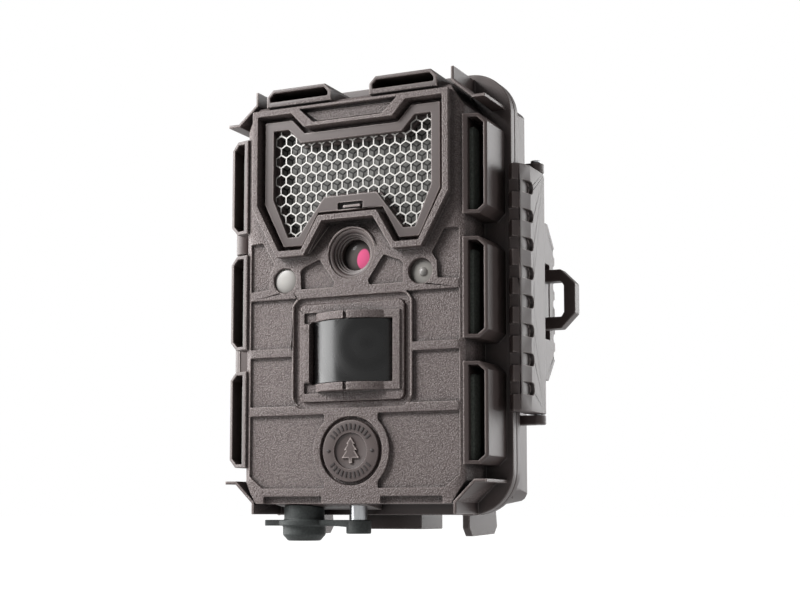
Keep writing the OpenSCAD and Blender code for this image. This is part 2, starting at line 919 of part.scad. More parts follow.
module panel_screws() {
    color(steel)
        on_case()
            for (x = [-post_x, post_x], z = post_z)
                difference() {
                    union() {
                        rod_y(x, z, panel_y - 6.5, panel_y + panel_t + 0.1, screw_d - 0.6);
                        rod_y(x, z, panel_y + panel_t, panel_y + panel_t + 1.3, 4.6);
                    }
                    translate([x, panel_y + panel_t + 1.3, z])
                        for (turn = [0, 90])
                            rotate([0, turn, 0])
                                cube([2.6, 1.4, 0.6], center = true);
                }
}

module lcd_screen() {
    color([0.16, 0.2, 0.22])
        on_case()
            front_view(board_y + board_t + seat, panel_y - seat)
                translate([-lcd_w / 2, lcd_z - lcd_h / 2])
                    square([lcd_w, lcd_h]);
}

module sd_socket() {
    w = card_w + 3;
    color(steel)
        on_case()
            difference() {
                translate([card_x1 - card_l - 1, board_y + board_t + 0.02, card_z - w / 2])
                    cube([card_l - 3, card_t + 1.6, w]);
                translate([card_x1 - card_l - 0.1, card_y - 0.1, card_z - card_w / 2 - 0.1])
                    cube([card_l + 1, card_t + 0.2, card_w + 0.2]);
                translate([card_x1 - 9, card_y, card_z - 6])
                    cube([6, 5, 12]);
            }
}

module sd_card() {
    color([0.15, 0.25, 0.5])
        on_case()
            front_view(card_y, card_y + card_t)
                translate([card_x1 - card_l, card_z - card_w / 2])
                    polygon([[0, 0], [card_l, 0], [card_l, card_w], [4, card_w], [0, card_w - 4]]);
}

module usb_socket() {
    color(steel)
        on_case()
            difference() {
                translate([-board_hw + 2, board_y + board_t + 0.02, face_z0 + 27])
                    cube([6, 3, 8]);
                translate([-board_hw + 1, board_y + board_t + 0.6, face_z0 + 27.6])
                    cube([6.4, 1.8, 6.8]);
            }
}

// Power inlet: a nut-like collar that hangs through the door's floor
module power_jack() {
    color(steel)
        on_case()
            translate([port_x, port_y, 0])
                difference() {
                    union() {
                        translate([0, 0, face_z0 + wall + seat])
                            cylinder(d = 12, h = 9);
                        translate([0, 0, face_z0 - collar_l])
                            cylinder(d = collar_d, h = collar_l + wall + 1);
                    }
                    difference() {
                        translate([0, 0, face_z0 - collar_l - 1])
                            cylinder(d = 5.7, h = 10.5);
                        cylinder(d = 2, h = 20, center = true);
                    }
                }
}

module leash_post() {
    color(steel)
        on_case()
            translate([post_out_x, port_y, 0]) {
                translate([0, 0, face_z0 + wall + seat])
                    cylinder(d = 8.4, h = 2);
                translate([0, 0, face_z0 - leash_l - 2.4])
                    cylinder(d = leash_d, h = leash_l + wall + 3);
            }
}

// Rubber cover: a cup over the power inlet, a flat leash with a pull tab, and a small cap
module port_cover() {
    z1 = -1.6;
    color(rubber)
        on_case()
            difference() {
                union() {
                    translate([port_x, port_y, z1 - 1.9])
                        cylinder(d = cover_d + 2.4, h = 1.9);
                    translate([port_x, port_y, z1 - 4.8])
                        cylinder(d = cover_d, h = 3.4);
                    translate([port_x, port_y, z1 - 6.7])
                        cylinder(d1 = cover_d - 3.4, d2 = cover_d, h = 1.9);
                    difference() {
                        translate([port_x, port_y, z1 - 0.1])
                            cylinder(d = cover_d - 0.8, h = face_z0 - z1);
                        side_view(port_x - 8, port_x + 8)
                            polygon([[floor_y0 - 1, face_z0 - cover_gap], [floor_y0, face_z0 - cover_gap],
                                [floor_y1, floor_z1 - cover_gap], [floor_y1 + 1, face_z0 + 2],
                                [floor_y0 - 1, face_z0 + 2]]);
                    }
                    translate([port_x - 13, port_y - 3.4, z1 - 1.9])
                        cube([post_out_x - port_x + 13, 6.8, 1.9]);
                    translate([post_out_x, port_y, z1 - 4.4])
                        cylinder(d = leash_d + 2.4, h = 4.4);
                }
                translate([port_x, port_y, z1 - 1.9 - (collar_l - face_z0) + 1.4])
                    cylinder(d = collar_d + 0.2, h = 10);
                translate([post_out_x, port_y, z1 - 3.2])
                    cylinder(d = leash_d + 0.2, h = 6);
            }
}

// ---- inner controls ----

module key_cap(spot) {
    x = pad_x + spot[0];
    z = pad_z + spot[1];
    color([0.55, 0.55, 0.56])
        on_case() {
            rod_y(x, z, board_y + board_t + key_travel + 0.2, door_back - 0.6, key_d);
            rod_y(x, z, board_y + board_t + key_travel + 0.2, board_y + board_t + key_travel + 1, key_d + 1.6);
        }
}

module power_switch() {
    color([0.1, 0.1, 0.1])
        on_case() {
            translate([switch_x - 1.5, panel_y - 0.9, switch_z - 1.5])
                cube([3, door_back - 0.8 - panel_y + 0.9, 3]);
            translate([switch_x - 4.5, board_y + board_t + 0.06, switch_z - 3.4])
                cube([9, panel_y - 0.3 - board_y - board_t - 0.06, 6.8]);
        }
}

// Sprung pins that meet the battery tray's pads when the door closes
function contact_spots() = [for (dz = [-4, 4]) [-tray_w / 2 - 2.8, mid_z + dz]];

module spring_contacts() {
    color(brass)
        on_case()
            for (s = contact_spots()) {
                rod_y(s[0], s[1], board_y + board_t + 0.02, panel_y + panel_t + 0.6, 2.8);
                rod_y(s[0], s[1], panel_y, tray_y0 - 0.15, 1.6);
            }
}

// ---- rear half ----

module rear_outline(inset = 0) {
    rounded_rect(rear_hw - inset, rear_z0 + inset, rear_top - inset, rear_r - inset * 0.8);
}

// Top view of the shell, drafted inwards and bevelled at the back
module rear_draft(inset = 0) {
    hw = rear_hw - inset;
    y1 = rear_back - inset;
    translate([0, 0, -eps])
        linear_extrude(flange_top + 1)
            polygon([[-hw, door_back], [-hw, rear_y], [-hw + draft, y1 - 4], [-hw + draft + 4, y1],
                [hw - draft - 4, y1], [hw - draft, y1 - 4], [hw, rear_y], [hw, door_back]]);
}

// Side view of the shell, bevelled at the top and bottom of its back
module rear_bevel(inset = 0) {
    y1 = rear_back - inset;
    side_view(-flange_hw, flange_hw)
        polygon([[door_back, rear_z0 + inset], [rear_y + 6, rear_z0 + inset], [y1 - 3, rear_z0 + inset + 1.6],
            [y1, rear_z0 + inset + 6], [y1, rear_top - inset - 6], [y1 - 4, rear_top - inset - 1.6],
            [rear_y + 6, rear_top - inset], [door_back, rear_top - inset]]);
}

module rear_shell(inset, y0) {
    intersection() {
        front_view(y0, rear_back - inset)
            rear_outline(inset);
        rear_draft(inset);
        rear_bevel(inset);
    }
}

// A tree rail with sloped ends and a slot for the strap
module tree_rail() {
    z0 = rail_mid_z - rail_h / 2;
    difference() {
        side_view(rail_x, rail_x + rail_w)
            polygon([[rear_back - 1, z0 + 2], [rear_back + 16, z0], [rail_y1 - 7, z0], [rail_y1, z0 + 8],
                [rail_y1, z0 + rail_h - 8], [rail_y1 - 7, z0 + rail_h], [rear_back + 16, z0 + rail_h],
                [rear_back - 1, z0 + rail_h - 2]]);
        translate([rail_x - 1, slot_y0, rail_mid_z - strap_w / 2])
            cube([rail_w + 2, slot_d, strap_w]);
        for (i = [0:6])
            translate([rail_x - 1, rail_y1, rail_mid_z - 18 + i * 6])
                rotate([0, 90, 0])
                    cylinder(d = 3, h = rail_w + 2, $fn = 24);
    }
}

// Eight-sided loop for a padlock or a cable lock
module lock_loop() {
    x1 = rear_hw + loop_out;
    c = 5;
    difference() {
        front_view(loop_y0, loop_y0 + loop_t)
            polygon([[rail_x + 1, loop_z - loop_h / 2], [x1 - c, loop_z - loop_h / 2],
                [x1, loop_z - loop_h / 2 + c], [x1, loop_z + loop_h / 2 - c],
                [x1 - c, loop_z + loop_h / 2], [rail_x + 1, loop_z + loop_h / 2]]);
        front_view(loop_y0 - 1, loop_y0 + loop_t + 1)
            polygon([[rear_hw + 1.6, loop_z - loop_hole / 2], [x1 - c, loop_z - loop_hole / 2],
                [x1 - 4, loop_z - loop_hole / 2 + 1.6], [x1 - 4, loop_z + loop_hole / 2 - 1.6],
                [x1 - c, loop_z + loop_hole / 2], [rear_hw + 1.6, loop_z + loop_hole / 2]]);
    }
}

module latch_lug(z) {
    translate([latch_pin_x, latch_pin_y, z])
        cylinder(d = latch_t, h = lug_h);
    translate([rear_hw - 2, latch_pin_y - latch_t / 2, z])
        cube([latch_pin_x - rear_hw + 2, latch_t, lug_h]);
}

module foot_tab() {
    translate([foot_x - foot_t / 2, 0, 0])
        side_view(0, foot_t)
            polygon([[rear_front + 0.2, face_z0 + 1], [rear_front + 0.2, -foot_drop + 2.5],
                [rear_front + 2.6, -foot_drop], [rear_back - 3, -foot_drop + 0.6],
                [rear_back - 0.6, -foot_drop + 3], [rear_back - 3, face_z0 + 3]]);
}

module rear_housing() {
    ribs = 3;
    color(taupe)
        on_case()
            difference() {
                union() {
                    difference() {
                        union() {
                            front_view(rear_front, rear_y)
                                flange_outline();
                            rear_shell(0, rear_y - eps);
                        }
                        rear_shell(wall, rear_front - 1);
                    }
                    both_sides() {
                        tree_rail();
                        foot_tab();
                    }
                    for (i = [0:ribs - 1])
                        translate([-rail_x - 1, rear_back - 0.5, rail_mid_z + (i - 1) * (strap_w / 2 + 6) - 1.2])
                            cube([2 * rail_x + 2, 10.5, 2.4]);
                    lock_loop();
                    translate([-boss_w / 2, tripod_y - boss_d / 2, -boss_drop])
                        cube([boss_w, boss_d, boss_drop + rear_z0 + 1]);
                    translate([0, tripod_y, 0])
                        cylinder(d = insert_d + 5, h = insert_l - boss_drop + 2);
                    for (z = [latch_z0 - lug_h - 0.3, latch_z0 + latch_h + 0.3])
                        latch_lug(z);
                    for (i = [0:2:knuckles - 1])
                        hinge_knuckle(i, rear_front, rear_y);
                    intersection() {
                        for (x = [-ear_x, ear_x], z = ear_z)
                            rod_y(x, z, ear_y + ear_t + seat, rear_back, 5);
                        rear_shell(0.6, rear_y);
                    }
                }
                front_view(rear_front - 1, rear_front + seal_d)
                    difference() {
                        flange_outline(seal_in);
                        flange_outline(seal_in + seal_w);
                    }
                translate([0, tripod_y, -boss_drop - 1])
                    cylinder(d = insert_d, h = insert_l + 1);
                hinge_bore();
                translate([latch_pin_x, latch_pin_y, latch_z0 - lug_h - 1])
                    cylinder(d = latch_pin_d + 2 * run, h = latch_h + 2 * lug_h + 2);
                for (x = [-ear_x, ear_x], z = ear_z)
                    rod_y(x, z, ear_y + ear_t - 1, ear_y + ear_t + 4.4, screw_d - 0.5);
            }
}

module case_gasket() {
    color(rubber)
        on_case()
            front_view(door_back + 0.1, rear_front + seal_d)
                difference() {
                    flange_outline(seal_in + seat);
                    flange_outline(seal_in + seal_w - seat);
                }
}

module tripod_insert() {
    color(brass)
        on_case()
            translate([0, tripod_y, -boss_drop])
                difference() {
                    cylinder(d = insert_d, h = insert_l);
                    translate([0, 0, -1])
                        cylinder(d = tripod_bore_d, h = insert_l);
                }
}

module battery_tray() {
    color([0.16, 0.16, 0.17])
        on_case()
            difference() {
                union() {
                    translate([-tray_w / 2, tray_y0, tray_z0])
                        cube([tray_w, tray_y1 - tray_y0, tray_h]);
                    for (x = [-ear_x, ear_x], z = [tray_z0 - ear_h, tray_z0 + tray_h - 0.5])
                        translate([x - 3, ear_y, z])
                            cube([6, ear_t, ear_h + 0.5]);
                    translate([-tray_w / 2 - 5, tray_y0 + 0.4, mid_z - 8])
                        cube([5.5, 3, 16]);
                }
                for (row = [0, 1])
                    translate([-tray_w / 2 + tray_wall, tray_y0 - 1, row_z(row)])
                        cube([tray_w - 2 * tray_wall, cell_y - tray_y0 + 1, row_l]);
                for (i = [0:3], row = [0, 1])
                    translate([cell_x(i), cell_y, row_z(row)])
                        cylinder(d = cell_d + 0.2, h = row_l);
                for (x = [-ear_x, ear_x], z = ear_z)
                    rod_y(x, z, ear_y - 1, ear_y + ear_t + 1, screw_d + 0.4);
            }
}

function row_z(row) = tray_z0 + tray_wall + row * (row_l + tray_wall);
function cell_x(i) = (i - 1.5) * cell_pitch;

module tray_screws() {
    color(steel)
        on_case()
            for (x = [-ear_x, ear_x], z = ear_z) {
                rod_y(x, z, ear_y - 0.1, ear_y + ear_t + 4, screw_d - 0.6);
                rod_y(x, z, ear_y - 1.3, ear_y - 0.02, 4.4);
            }
}

// A cell stands with its nub up in the even columns and down in the odd ones
module aa_cell(index) {
    i = index % 4;
    row = floor(index / 4);
    up = i % 2 == 0;
    flat = row_z(row) + contact_t + 0.05 + (up ? spring_l : cell_l + nub_l);
    color([0.22, 0.24, 0.30])
        on_case()
            translate([cell_x(i), cell_y, flat])
                mirror([0, 0, up ? 0 : 1]) {
                    cylinder(d = cell_d, h = cell_l - 0.4);
                    cylinder(d = cell_d - 1.4, h = cell_l);
                    cylinder(d = 5.2, h = cell_l + nub_l);
                }
}

// Plates at both ends of each cell, and the two pads that the door's pins meet
module battery_contacts() {
    color(steel)
        on_case() {
            for (i = [0:3], row = [0, 1], z = [row_z(row) + 0.02, row_z(row) + row_l - contact_t - 0.02])
                translate([cell_x(i) - 5, cell_y - 5, z])
                    cube([10, 10, contact_t]);
            for (s = contact_spots())
                rod_y(s[0], s[1], tray_y0 + 0.05, tray_y0 + 0.4, 3.6);
        }
}

// Conical coil spring, narrow at its free end
module coil_spring(r0, r1, h, turns, wire) {
    steps = 10;
    sides = 6;
    rings = turns * steps;
    points = [for (k = [0:rings], j = [0:sides - 1])
        let (a = 360 * k / steps, f = k / rings, r = r0 + (r1 - r0) * f + wire / 2 * cos(360 * j / sides))
        [r * cos(a), r * sin(a), wire / 2 + (h - wire) * f + wire / 2 * sin(360 * j / sides)]];
    walls = [for (k = [0:rings - 1], j = [0:sides - 1])
        [k * sides + j, (k + 1) * sides + j, (k + 1) * sides + (j + 1) % sides, k * sides + (j + 1) % sides]];
    caps = [[for (j = [0:sides - 1]) j], [for (j = [sides - 1:-1:0]) rings * sides + j]];
    polyhedron(points = points, faces = concat(walls, caps));
}

module battery_springs() {
    h = spring_l - 0.1;
    color(steel)
        on_case()
            for (i = [0:3], row = [0, 1])
                translate([cell_x(i), cell_y, i % 2 == 0 ? row_z(row) + contact_t + 0.04
                        : row_z(row) + row_l - contact_t - 0.04])
                    mirror([0, 0, i % 2])
                        coil_spring(4.2, 2.4, h, 3, 0.6);
}

// ---- hinge and latch ----

module hinge_pin() {
    z0 = mid_z - hinge_h / 2;
    color(steel)
        on_case()
            translate([hinge_x, hinge_y, z0]) {
                translate([0, 0, -0.6])
                    cylinder(d = hinge_pin_d, h = hinge_h + 1.2);
                translate([0, 0, hinge_h])
                    cylinder(d = hinge_pin_d + 1.4, h = 1);
            }
}

module latch_pin() {
    color(steel)
        on_case()
            translate([latch_pin_x, latch_pin_y, latch_z0 - lug_h - 0.4]) {
                cylinder(d = latch_pin_d, h = latch_h + 2 * lug_h + 1.2);
                translate([0, 0, latch_h + 2 * lug_h + 1.1])
                    cylinder(d = latch_pin_d + 1.2, h = 0.7);
            }
}

// Lever seen from above: an inner face beside the flange, bevelled front, round heel at the pin
module latch_lever() {
    out = latch_in + latch_t;
    front = latch_front;
    first = latch_z0 + (latch_h - (latch_notches - 1) * latch_pitch) / 2;
    notch_h = 3.8;
    color(taupe)
        on_case()
            difference() {
                union() {
                    translate([0, 0, latch_z0])
                        linear_extrude(latch_h)
                            polygon([[latch_in, front + 1.2], [latch_in + 1.6, front], [out - 1.8, front + 1.4],
                                [out, front + 6], [out, latch_pin_y], [latch_in, latch_pin_y]]);
                    translate([latch_pin_x, latch_pin_y, latch_z0])
                        cylinder(d = latch_t, h = latch_h);
                }
                for (i = [0:latch_notches - 1])
                    translate([out - 1.5, 0, first + i * latch_pitch]) {
                        translate([0, front - 1, -notch_h / 2])
                            cube([3, 8, notch_h]);
                        translate([-latch_t, front - 1, -notch_h / 2])
                            cube([latch_t + 3, 2.3, notch_h]);
                        translate([0, front + 7, 0])
                            rotate([0, 90, 0])
                                cylinder(d = notch_h, h = 3);
                    }
                side_view(latch_in - 1, out + 1)
                    polygon([[latch_pin_y - 3, latch_z0 + latch_h + 1], [latch_pin_y + latch_t, latch_z0 + latch_h + 1],
                        [latch_pin_y + latch_t, latch_z0 + latch_h - 3]]);
                translate([latch_in - 1, rear_front - 0.4 - flange_t, latch_z0 - 1])
                    cube([1 + 0.3, 2 * flange_t + 1.1, latch_h + 2]);
                translate([latch_pin_x, latch_pin_y, latch_z0 - 1])
                    cylinder(d = latch_pin_d + 2 * run, h = latch_h + 2);
            }
}

module key_up() { key_cap(key_spots()[0]); }
module key_down() { key_cap(key_spots()[1]); }
module key_left() { key_cap(key_spots()[2]); }
module key_right() { key_cap(key_spots()[3]); }
module key_ok() { key_cap(key_spots()[4]); }

rear_housing();
case_gasket();
tripod_insert();
battery_tray();
battery_contacts();
battery_springs();
aa_cell(0);  // aa_cell_1
aa_cell(1);  // aa_cell_2
aa_cell(2);  // aa_cell_3
aa_cell(3);  // aa_cell_4
aa_cell(4);  // aa_cell_5
aa_cell(5);  // aa_cell_6
aa_cell(6);  // aa_cell_7
aa_cell(7);  // aa_cell_8
tray_screws();
hinge_pin();
latch_pin();
latch_lever();
front_housing();
led_bezel();
led_mesh();
led_filter();
led_board();
ir_leds();
lens_ring();
lens_glass();
lens_barrel();
image_sensor();
left_window();
right_window();
light_sensor();
status_led();
pir_bezel();
pir_lens();
pir_sensor();
badge();
main_board();
board_screws();
inner_panel();
panel_screws();
lcd_screen();
sd_socket();
sd_card();
usb_socket();
power_jack();
leash_post();
port_cover();
power_switch();
key_up();
key_down();
key_left();
key_right();
key_ok();
spring_contacts();
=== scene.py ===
"""Looks of a trail camera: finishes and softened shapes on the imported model.

The file is laid out as an add-on, and runs as a script.
"""

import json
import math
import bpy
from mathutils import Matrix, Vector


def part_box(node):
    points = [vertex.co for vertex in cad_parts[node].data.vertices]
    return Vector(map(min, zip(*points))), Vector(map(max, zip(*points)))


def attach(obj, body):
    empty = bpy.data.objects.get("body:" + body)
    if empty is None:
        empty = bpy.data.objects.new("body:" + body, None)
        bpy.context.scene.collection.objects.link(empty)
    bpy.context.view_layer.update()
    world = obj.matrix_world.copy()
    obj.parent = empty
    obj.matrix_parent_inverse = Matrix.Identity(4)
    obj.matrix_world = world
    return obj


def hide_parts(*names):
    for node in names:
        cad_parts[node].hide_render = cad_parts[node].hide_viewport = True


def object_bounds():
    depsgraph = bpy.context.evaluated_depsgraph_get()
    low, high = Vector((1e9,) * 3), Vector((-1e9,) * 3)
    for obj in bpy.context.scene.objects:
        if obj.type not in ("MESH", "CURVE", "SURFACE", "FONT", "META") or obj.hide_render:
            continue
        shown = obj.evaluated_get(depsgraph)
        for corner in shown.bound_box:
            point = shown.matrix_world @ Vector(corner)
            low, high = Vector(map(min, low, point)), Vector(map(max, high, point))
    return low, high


bl_info = {
    "name": "Trail camera looks",
    "version": (1, 0, 0),
    "blender": (4, 5, 0),
    "location": "View3D > Sidebar > Trail camera",
    "description": "Builds the visible pieces, finishes and stage of a trail camera",
    "category": "Object",
}

import bmesh
import bpy
from bpy.props import FloatProperty, FloatVectorProperty, IntProperty, PointerProperty
from mathutils import Matrix, Vector

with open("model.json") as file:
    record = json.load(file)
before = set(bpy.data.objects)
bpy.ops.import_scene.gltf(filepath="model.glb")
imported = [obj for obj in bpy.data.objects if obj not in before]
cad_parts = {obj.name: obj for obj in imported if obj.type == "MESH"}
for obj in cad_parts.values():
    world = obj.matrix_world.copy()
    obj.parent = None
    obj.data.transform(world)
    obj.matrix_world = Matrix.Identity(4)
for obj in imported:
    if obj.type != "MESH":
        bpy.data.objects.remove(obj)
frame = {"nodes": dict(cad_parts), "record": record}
CAD_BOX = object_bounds()
MM = 0.001
BODY_OF = {node: body for body, nodes in frame["record"]["behaviour"]["bodies"].items() for node in nodes}

# Places on the door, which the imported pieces' boxes don't give
FACE_Y = -33.8 * MM  # the face's plane
FACE_SIDE = 7.8 * MM  # from the window's bezel out to the face's edge
FACE_ABOVE = 5.7 * MM  # from the bezel up to the top of the face
FACE_BELOW = 11 * MM  # from the model's foot up to the bottom of the face
FLANGE_FRONT = 3.4 * MM  # from the seal forward to the door's flange
GUARD_WALL = 8.7 * MM  # from the bezel out to the inner wall of the side guards
GUARD_PITCH = 38.6 * MM  # between neighbouring side guards
GUARD_ABOVE_BOARD = 11.8 * MM  # from the board's middle up to the middle guard


# ---- colours and materials ----


def linear(code):
    """An sRGB hex colour as linear red, green, blue and alpha."""
    parts = [int(code[i : i + 2], 16) / 255 for i in (1, 3, 5)]
    return [c / 12.92 if c <= 0.04045 else ((c + 0.055) / 1.055) ** 2.4 for c in parts] + [1.0]


def per_mm(size):
    """Texture scale that repeats a pattern every size millimetres on Object coordinates."""
    return 1000.0 / size


def add(tree, kind, links=None, **settings):
    """Adds a node with its settings, and gives its sockets values or links."""
    made = tree.nodes.new(kind)
    for key, value in settings.items():
        setattr(made, key, value)
    for socket, value in (links or {}).items():
        if isinstance(value, bpy.types.NodeSocket):
            tree.links.new(value, made.inputs[socket])
        else:
            made.inputs[socket].default_value = value
    return made


def material(name, colour, roughness, **sockets):
    """A material with its shader's plain sockets set: base colour, roughness and any others by name."""
    made = bpy.data.materials.new(name)
    made.use_nodes = True
    tree = made.node_tree
    shader = tree.nodes["Principled BSDF"]
    shader.inputs["Base Color"].default_value = colour
    shader.inputs["Roughness"].default_value = roughness
    for key, value in sockets.items():
        shader.inputs[key.replace("_", " ")].default_value = value
    place = add(tree, "ShaderNodeTexCoord").outputs["Object"]
    return made, tree, shader, place


def painted_shade_and_highlight(tree, shader, colour, mottle_and_highlight, pale=1.0):
    """Paints shade into hollows and a pale highlight onto sharp edges, and gives the shader the result."""
    # painted shade: the colour darkens where ambient occlusion finds a hollow
    hollow = add(tree, "ShaderNodeAmbientOcclusion", {"Distance": 0.0042}, samples=6, only_local=True)
    hollow_shade = add(
        tree,
        "ShaderNodeMapRange",
        {"Value": hollow.outputs["AO"], "From Min": 0.35, "From Max": 0.9, "To Min": 0.12},
    )
    # painted highlight: the colour pales towards the given light colour on sharp convex edges
    ridge = add(
        tree, "ShaderNodeAmbientOcclusion", {"Distance": 0.0007}, samples=6, inside=True, only_local=True
    )
    edge_highlight = add(
        tree,
        "ShaderNodeMapRange",
        {"Value": ridge.outputs["AO"], "From Min": 0.8, "From Max": 0.5, "To Max": pale},
    )
    shaded_colour = add(
        tree,
        "ShaderNodeMix",
        {0: 1.0, 6: colour, 7: hollow_shade.outputs[0]},
        data_type="RGBA",
        blend_type="MULTIPLY",
    )
    highlighted_colour = add(tree, "ShaderNodeMix", {0: edge_highlight.outputs[0], 6: shaded_colour.outputs[2], 7: mottle_and_highlight}, data_type="RGBA")
    tree.links.new(highlighted_colour.outputs[2], shader.inputs["Base Color"])


def pebbled_abs():
    """ABS moulded against an eroded tool: a dull skin of fine rounded pebbles, with a painted highlight on
    their tops and painted shade between them.
    """
    colours = bpy.context.scene.trailcam_colours
    sizes = bpy.context.scene.trailcam_sizes
    made, tree, shader, place = material("ABS_pebble_moulded", linear("#7d7370"), 0.5)
    grain = sizes.pebble / MM
    pebble = add(
        tree,
        "ShaderNodeTexNoise",
        {"Vector": place, "Scale": per_mm(grain), "Detail": 1.5, "Roughness": 0.6},
    )
    cells = add(tree, "ShaderNodeTexVoronoi", {"Vector": place, "Scale": per_mm(grain * 1.5)}, feature="F1")
    height = add(
        tree,
        "ShaderNodeMath",
        {0: pebble.outputs["Fac"], 1: cells.outputs["Distance"]},
        operation="SUBTRACT",
    )
    tops = add(tree, "ShaderNodeMapRange", {"Value": height.outputs[0], "From Min": -0.22, "From Max": 0.28})
    patch = add(tree, "ShaderNodeTexNoise", {"Vector": place, "Scale": per_mm(22), "Detail": 2.0})
    # painted shade and highlight: darker between the pebbles, paler on their tops
    low, high = list(colours.case_low) + [1.0], list(colours.case_high) + [1.0]
    tint = add(tree, "ShaderNodeMix", {0: tops.outputs[0], 6: low, 7: high}, data_type="RGBA")
    mottle_and_highlight = add(tree, "ShaderNodeMapRange", {"Value": patch.outputs["Fac"], "To Min": 0.93, "To Max": 1.07})
    shade = add(
        tree,
        "ShaderNodeMix",
        {0: 1.0, 6: tint.outputs[2], 7: mottle_and_highlight.outputs[0]},
        data_type="RGBA",
        blend_type="MULTIPLY",
    )
    bump = add(tree, "ShaderNodeBump", {"Height": height.outputs[0], "Strength": 1.0, "Distance": 0.00018})
    rough = add(tree, "ShaderNodeMapRange", {"Value": tops.outputs[0], "To Min": 0.62, "To Max": 0.42})
    # painted shade in the hollows, and a painted highlight in this pale colour on the edges
    painted_shade_and_highlight(tree, shader, shade.outputs[2], linear("#a99d99"), 0.75)
    tree.links.new(rough.outputs[0], shader.inputs["Roughness"])
    tree.links.new(bump.outputs[0], shader.inputs["Normal"])
    return made


def satin_abs():
    """ABS moulded against a stoned tool: an even satin skin with a faint fine tooth."""
    colours = bpy.context.scene.trailcam_colours
    made, tree, shader, place = material("ABS_satin_moulded", list(colours.bezel) + [1.0], 0.46)
    tooth = add(tree, "ShaderNodeTexNoise", {"Vector": place, "Scale": per_mm(0.45), "Detail": 2.0})
    dark = [0.9 * c for c in colours.bezel] + [1.0]
    light = [1.1 * c for c in colours.bezel] + [1.0]
    tint = add(tree, "ShaderNodeMix", {0: tooth.outputs["Fac"], 6: dark, 7: light}, data_type="RGBA")
    bump = add(
        tree, "ShaderNodeBump", {"Height": tooth.outputs["Fac"], "Strength": 0.18, "Distance": 0.00006}
    )
    # painted shade in the hollows, and a painted highlight in this pale colour on the edges
    painted_shade_and_highlight(tree, shader, tint.outputs[2], linear("#b3a7a3"), 0.8)
    tree.links.new(bump.outputs[0], shader.inputs["Normal"])
    return made


def grained(name, low, high, grain, bump_strength, roughness, **sockets):
    """A moulded skin whose two tones and bump follow one fine grain."""
    made, tree, shader, place = material(name, linear(low), roughness, **sockets)
    tooth = add(tree, "ShaderNodeTexNoise", {"Vector": place, "Scale": per_mm(grain), "Detail": 3.0})
    even = add(tree, "ShaderNodeMapRange", {"Value": tooth.outputs["Fac"], "From Min": 0.3, "From Max": 0.7})
    tint = add(tree, "ShaderNodeMix", {0: even.outputs[0], 6: linear(low), 7: linear(high)}, data_type="RGBA")
    bump = add(
        tree,
        "ShaderNodeBump",
        {"Height": tooth.outputs["Fac"], "Strength": bump_strength, "Distance": 0.0001},
    )
    tree.links.new(tint.outputs[2], shader.inputs["Base Color"])
    tree.links.new(bump.outputs[0], shader.inputs["Normal"])
    return made


def brushed(name, low, high, roughness, along="Z"):
    """Drawn metal: long hairlines down its length that spread each highlight."""
    made, tree, shader, place = material(name, linear(high), roughness, Metallic=1.0)
    squash = [1.0, 1.0, 1.0]
    squash["XYZ".index(along)] = 0.05
    lines = add(tree, "ShaderNodeMapping", {"Vector": place, "Scale": squash})
    hair = add(tree, "ShaderNodeTexNoise", {"Vector": lines.outputs[0], "Scale": per_mm(0.3), "Detail": 3.0})
    tint = add(
        tree, "ShaderNodeMix", {0: hair.outputs["Fac"], 6: linear(low), 7: linear(high)}, data_type="RGBA"
    )
    rough = add(
        tree,
        "ShaderNodeMapRange",
        {"Value": hair.outputs["Fac"], "To Min": roughness - 0.08, "To Max": roughness + 0.1},
    )
    bump = add(tree, "ShaderNodeBump", {"Height": hair.outputs["Fac"], "Strength": 0.12, "Distance": 0.00005})
    tree.links.new(tint.outputs[2], shader.inputs["Base Color"])
    tree.links.new(rough.outputs[0], shader.inputs["Roughness"])
    tree.links.new(bump.outputs[0], shader.inputs["Normal"])
    return made


def coated_mesh():
    """Steel mesh with a white powder coat: bright on faces that look forward, with painted shade, a dark
    grey, down each wire's sides.
    """
    made, tree, shader, place = material("steel_mesh_white_coated", linear("#e4e2de"), 0.4)
    facing = add(tree, "ShaderNodeSeparateXYZ", {0: add(tree, "ShaderNodeTexCoord").outputs["Normal"]})
    front = add(
        tree, "ShaderNodeMapRange", {"Value": facing.outputs["Y"], "From Min": -0.5, "From Max": -0.9}
    )
    tooth = add(tree, "ShaderNodeTexNoise", {"Vector": place, "Scale": per_mm(0.5), "Detail": 2.0})
    coat = add(
        tree,
        "ShaderNodeMix",
        {0: tooth.outputs["Fac"], 6: linear("#c4c1bc"), 7: linear("#dcdad6")},
        data_type="RGBA",
    )
    # painted shade: faces turned away from the front take dark grey instead of the coat's white
    tint = add(
        tree,
        "ShaderNodeMix",
        {0: front.outputs[0], 6: linear("#3a3836"), 7: coat.outputs[2]},
        data_type="RGBA",
    )
    tree.links.new(tint.outputs[2], shader.inputs["Base Color"])
    return made


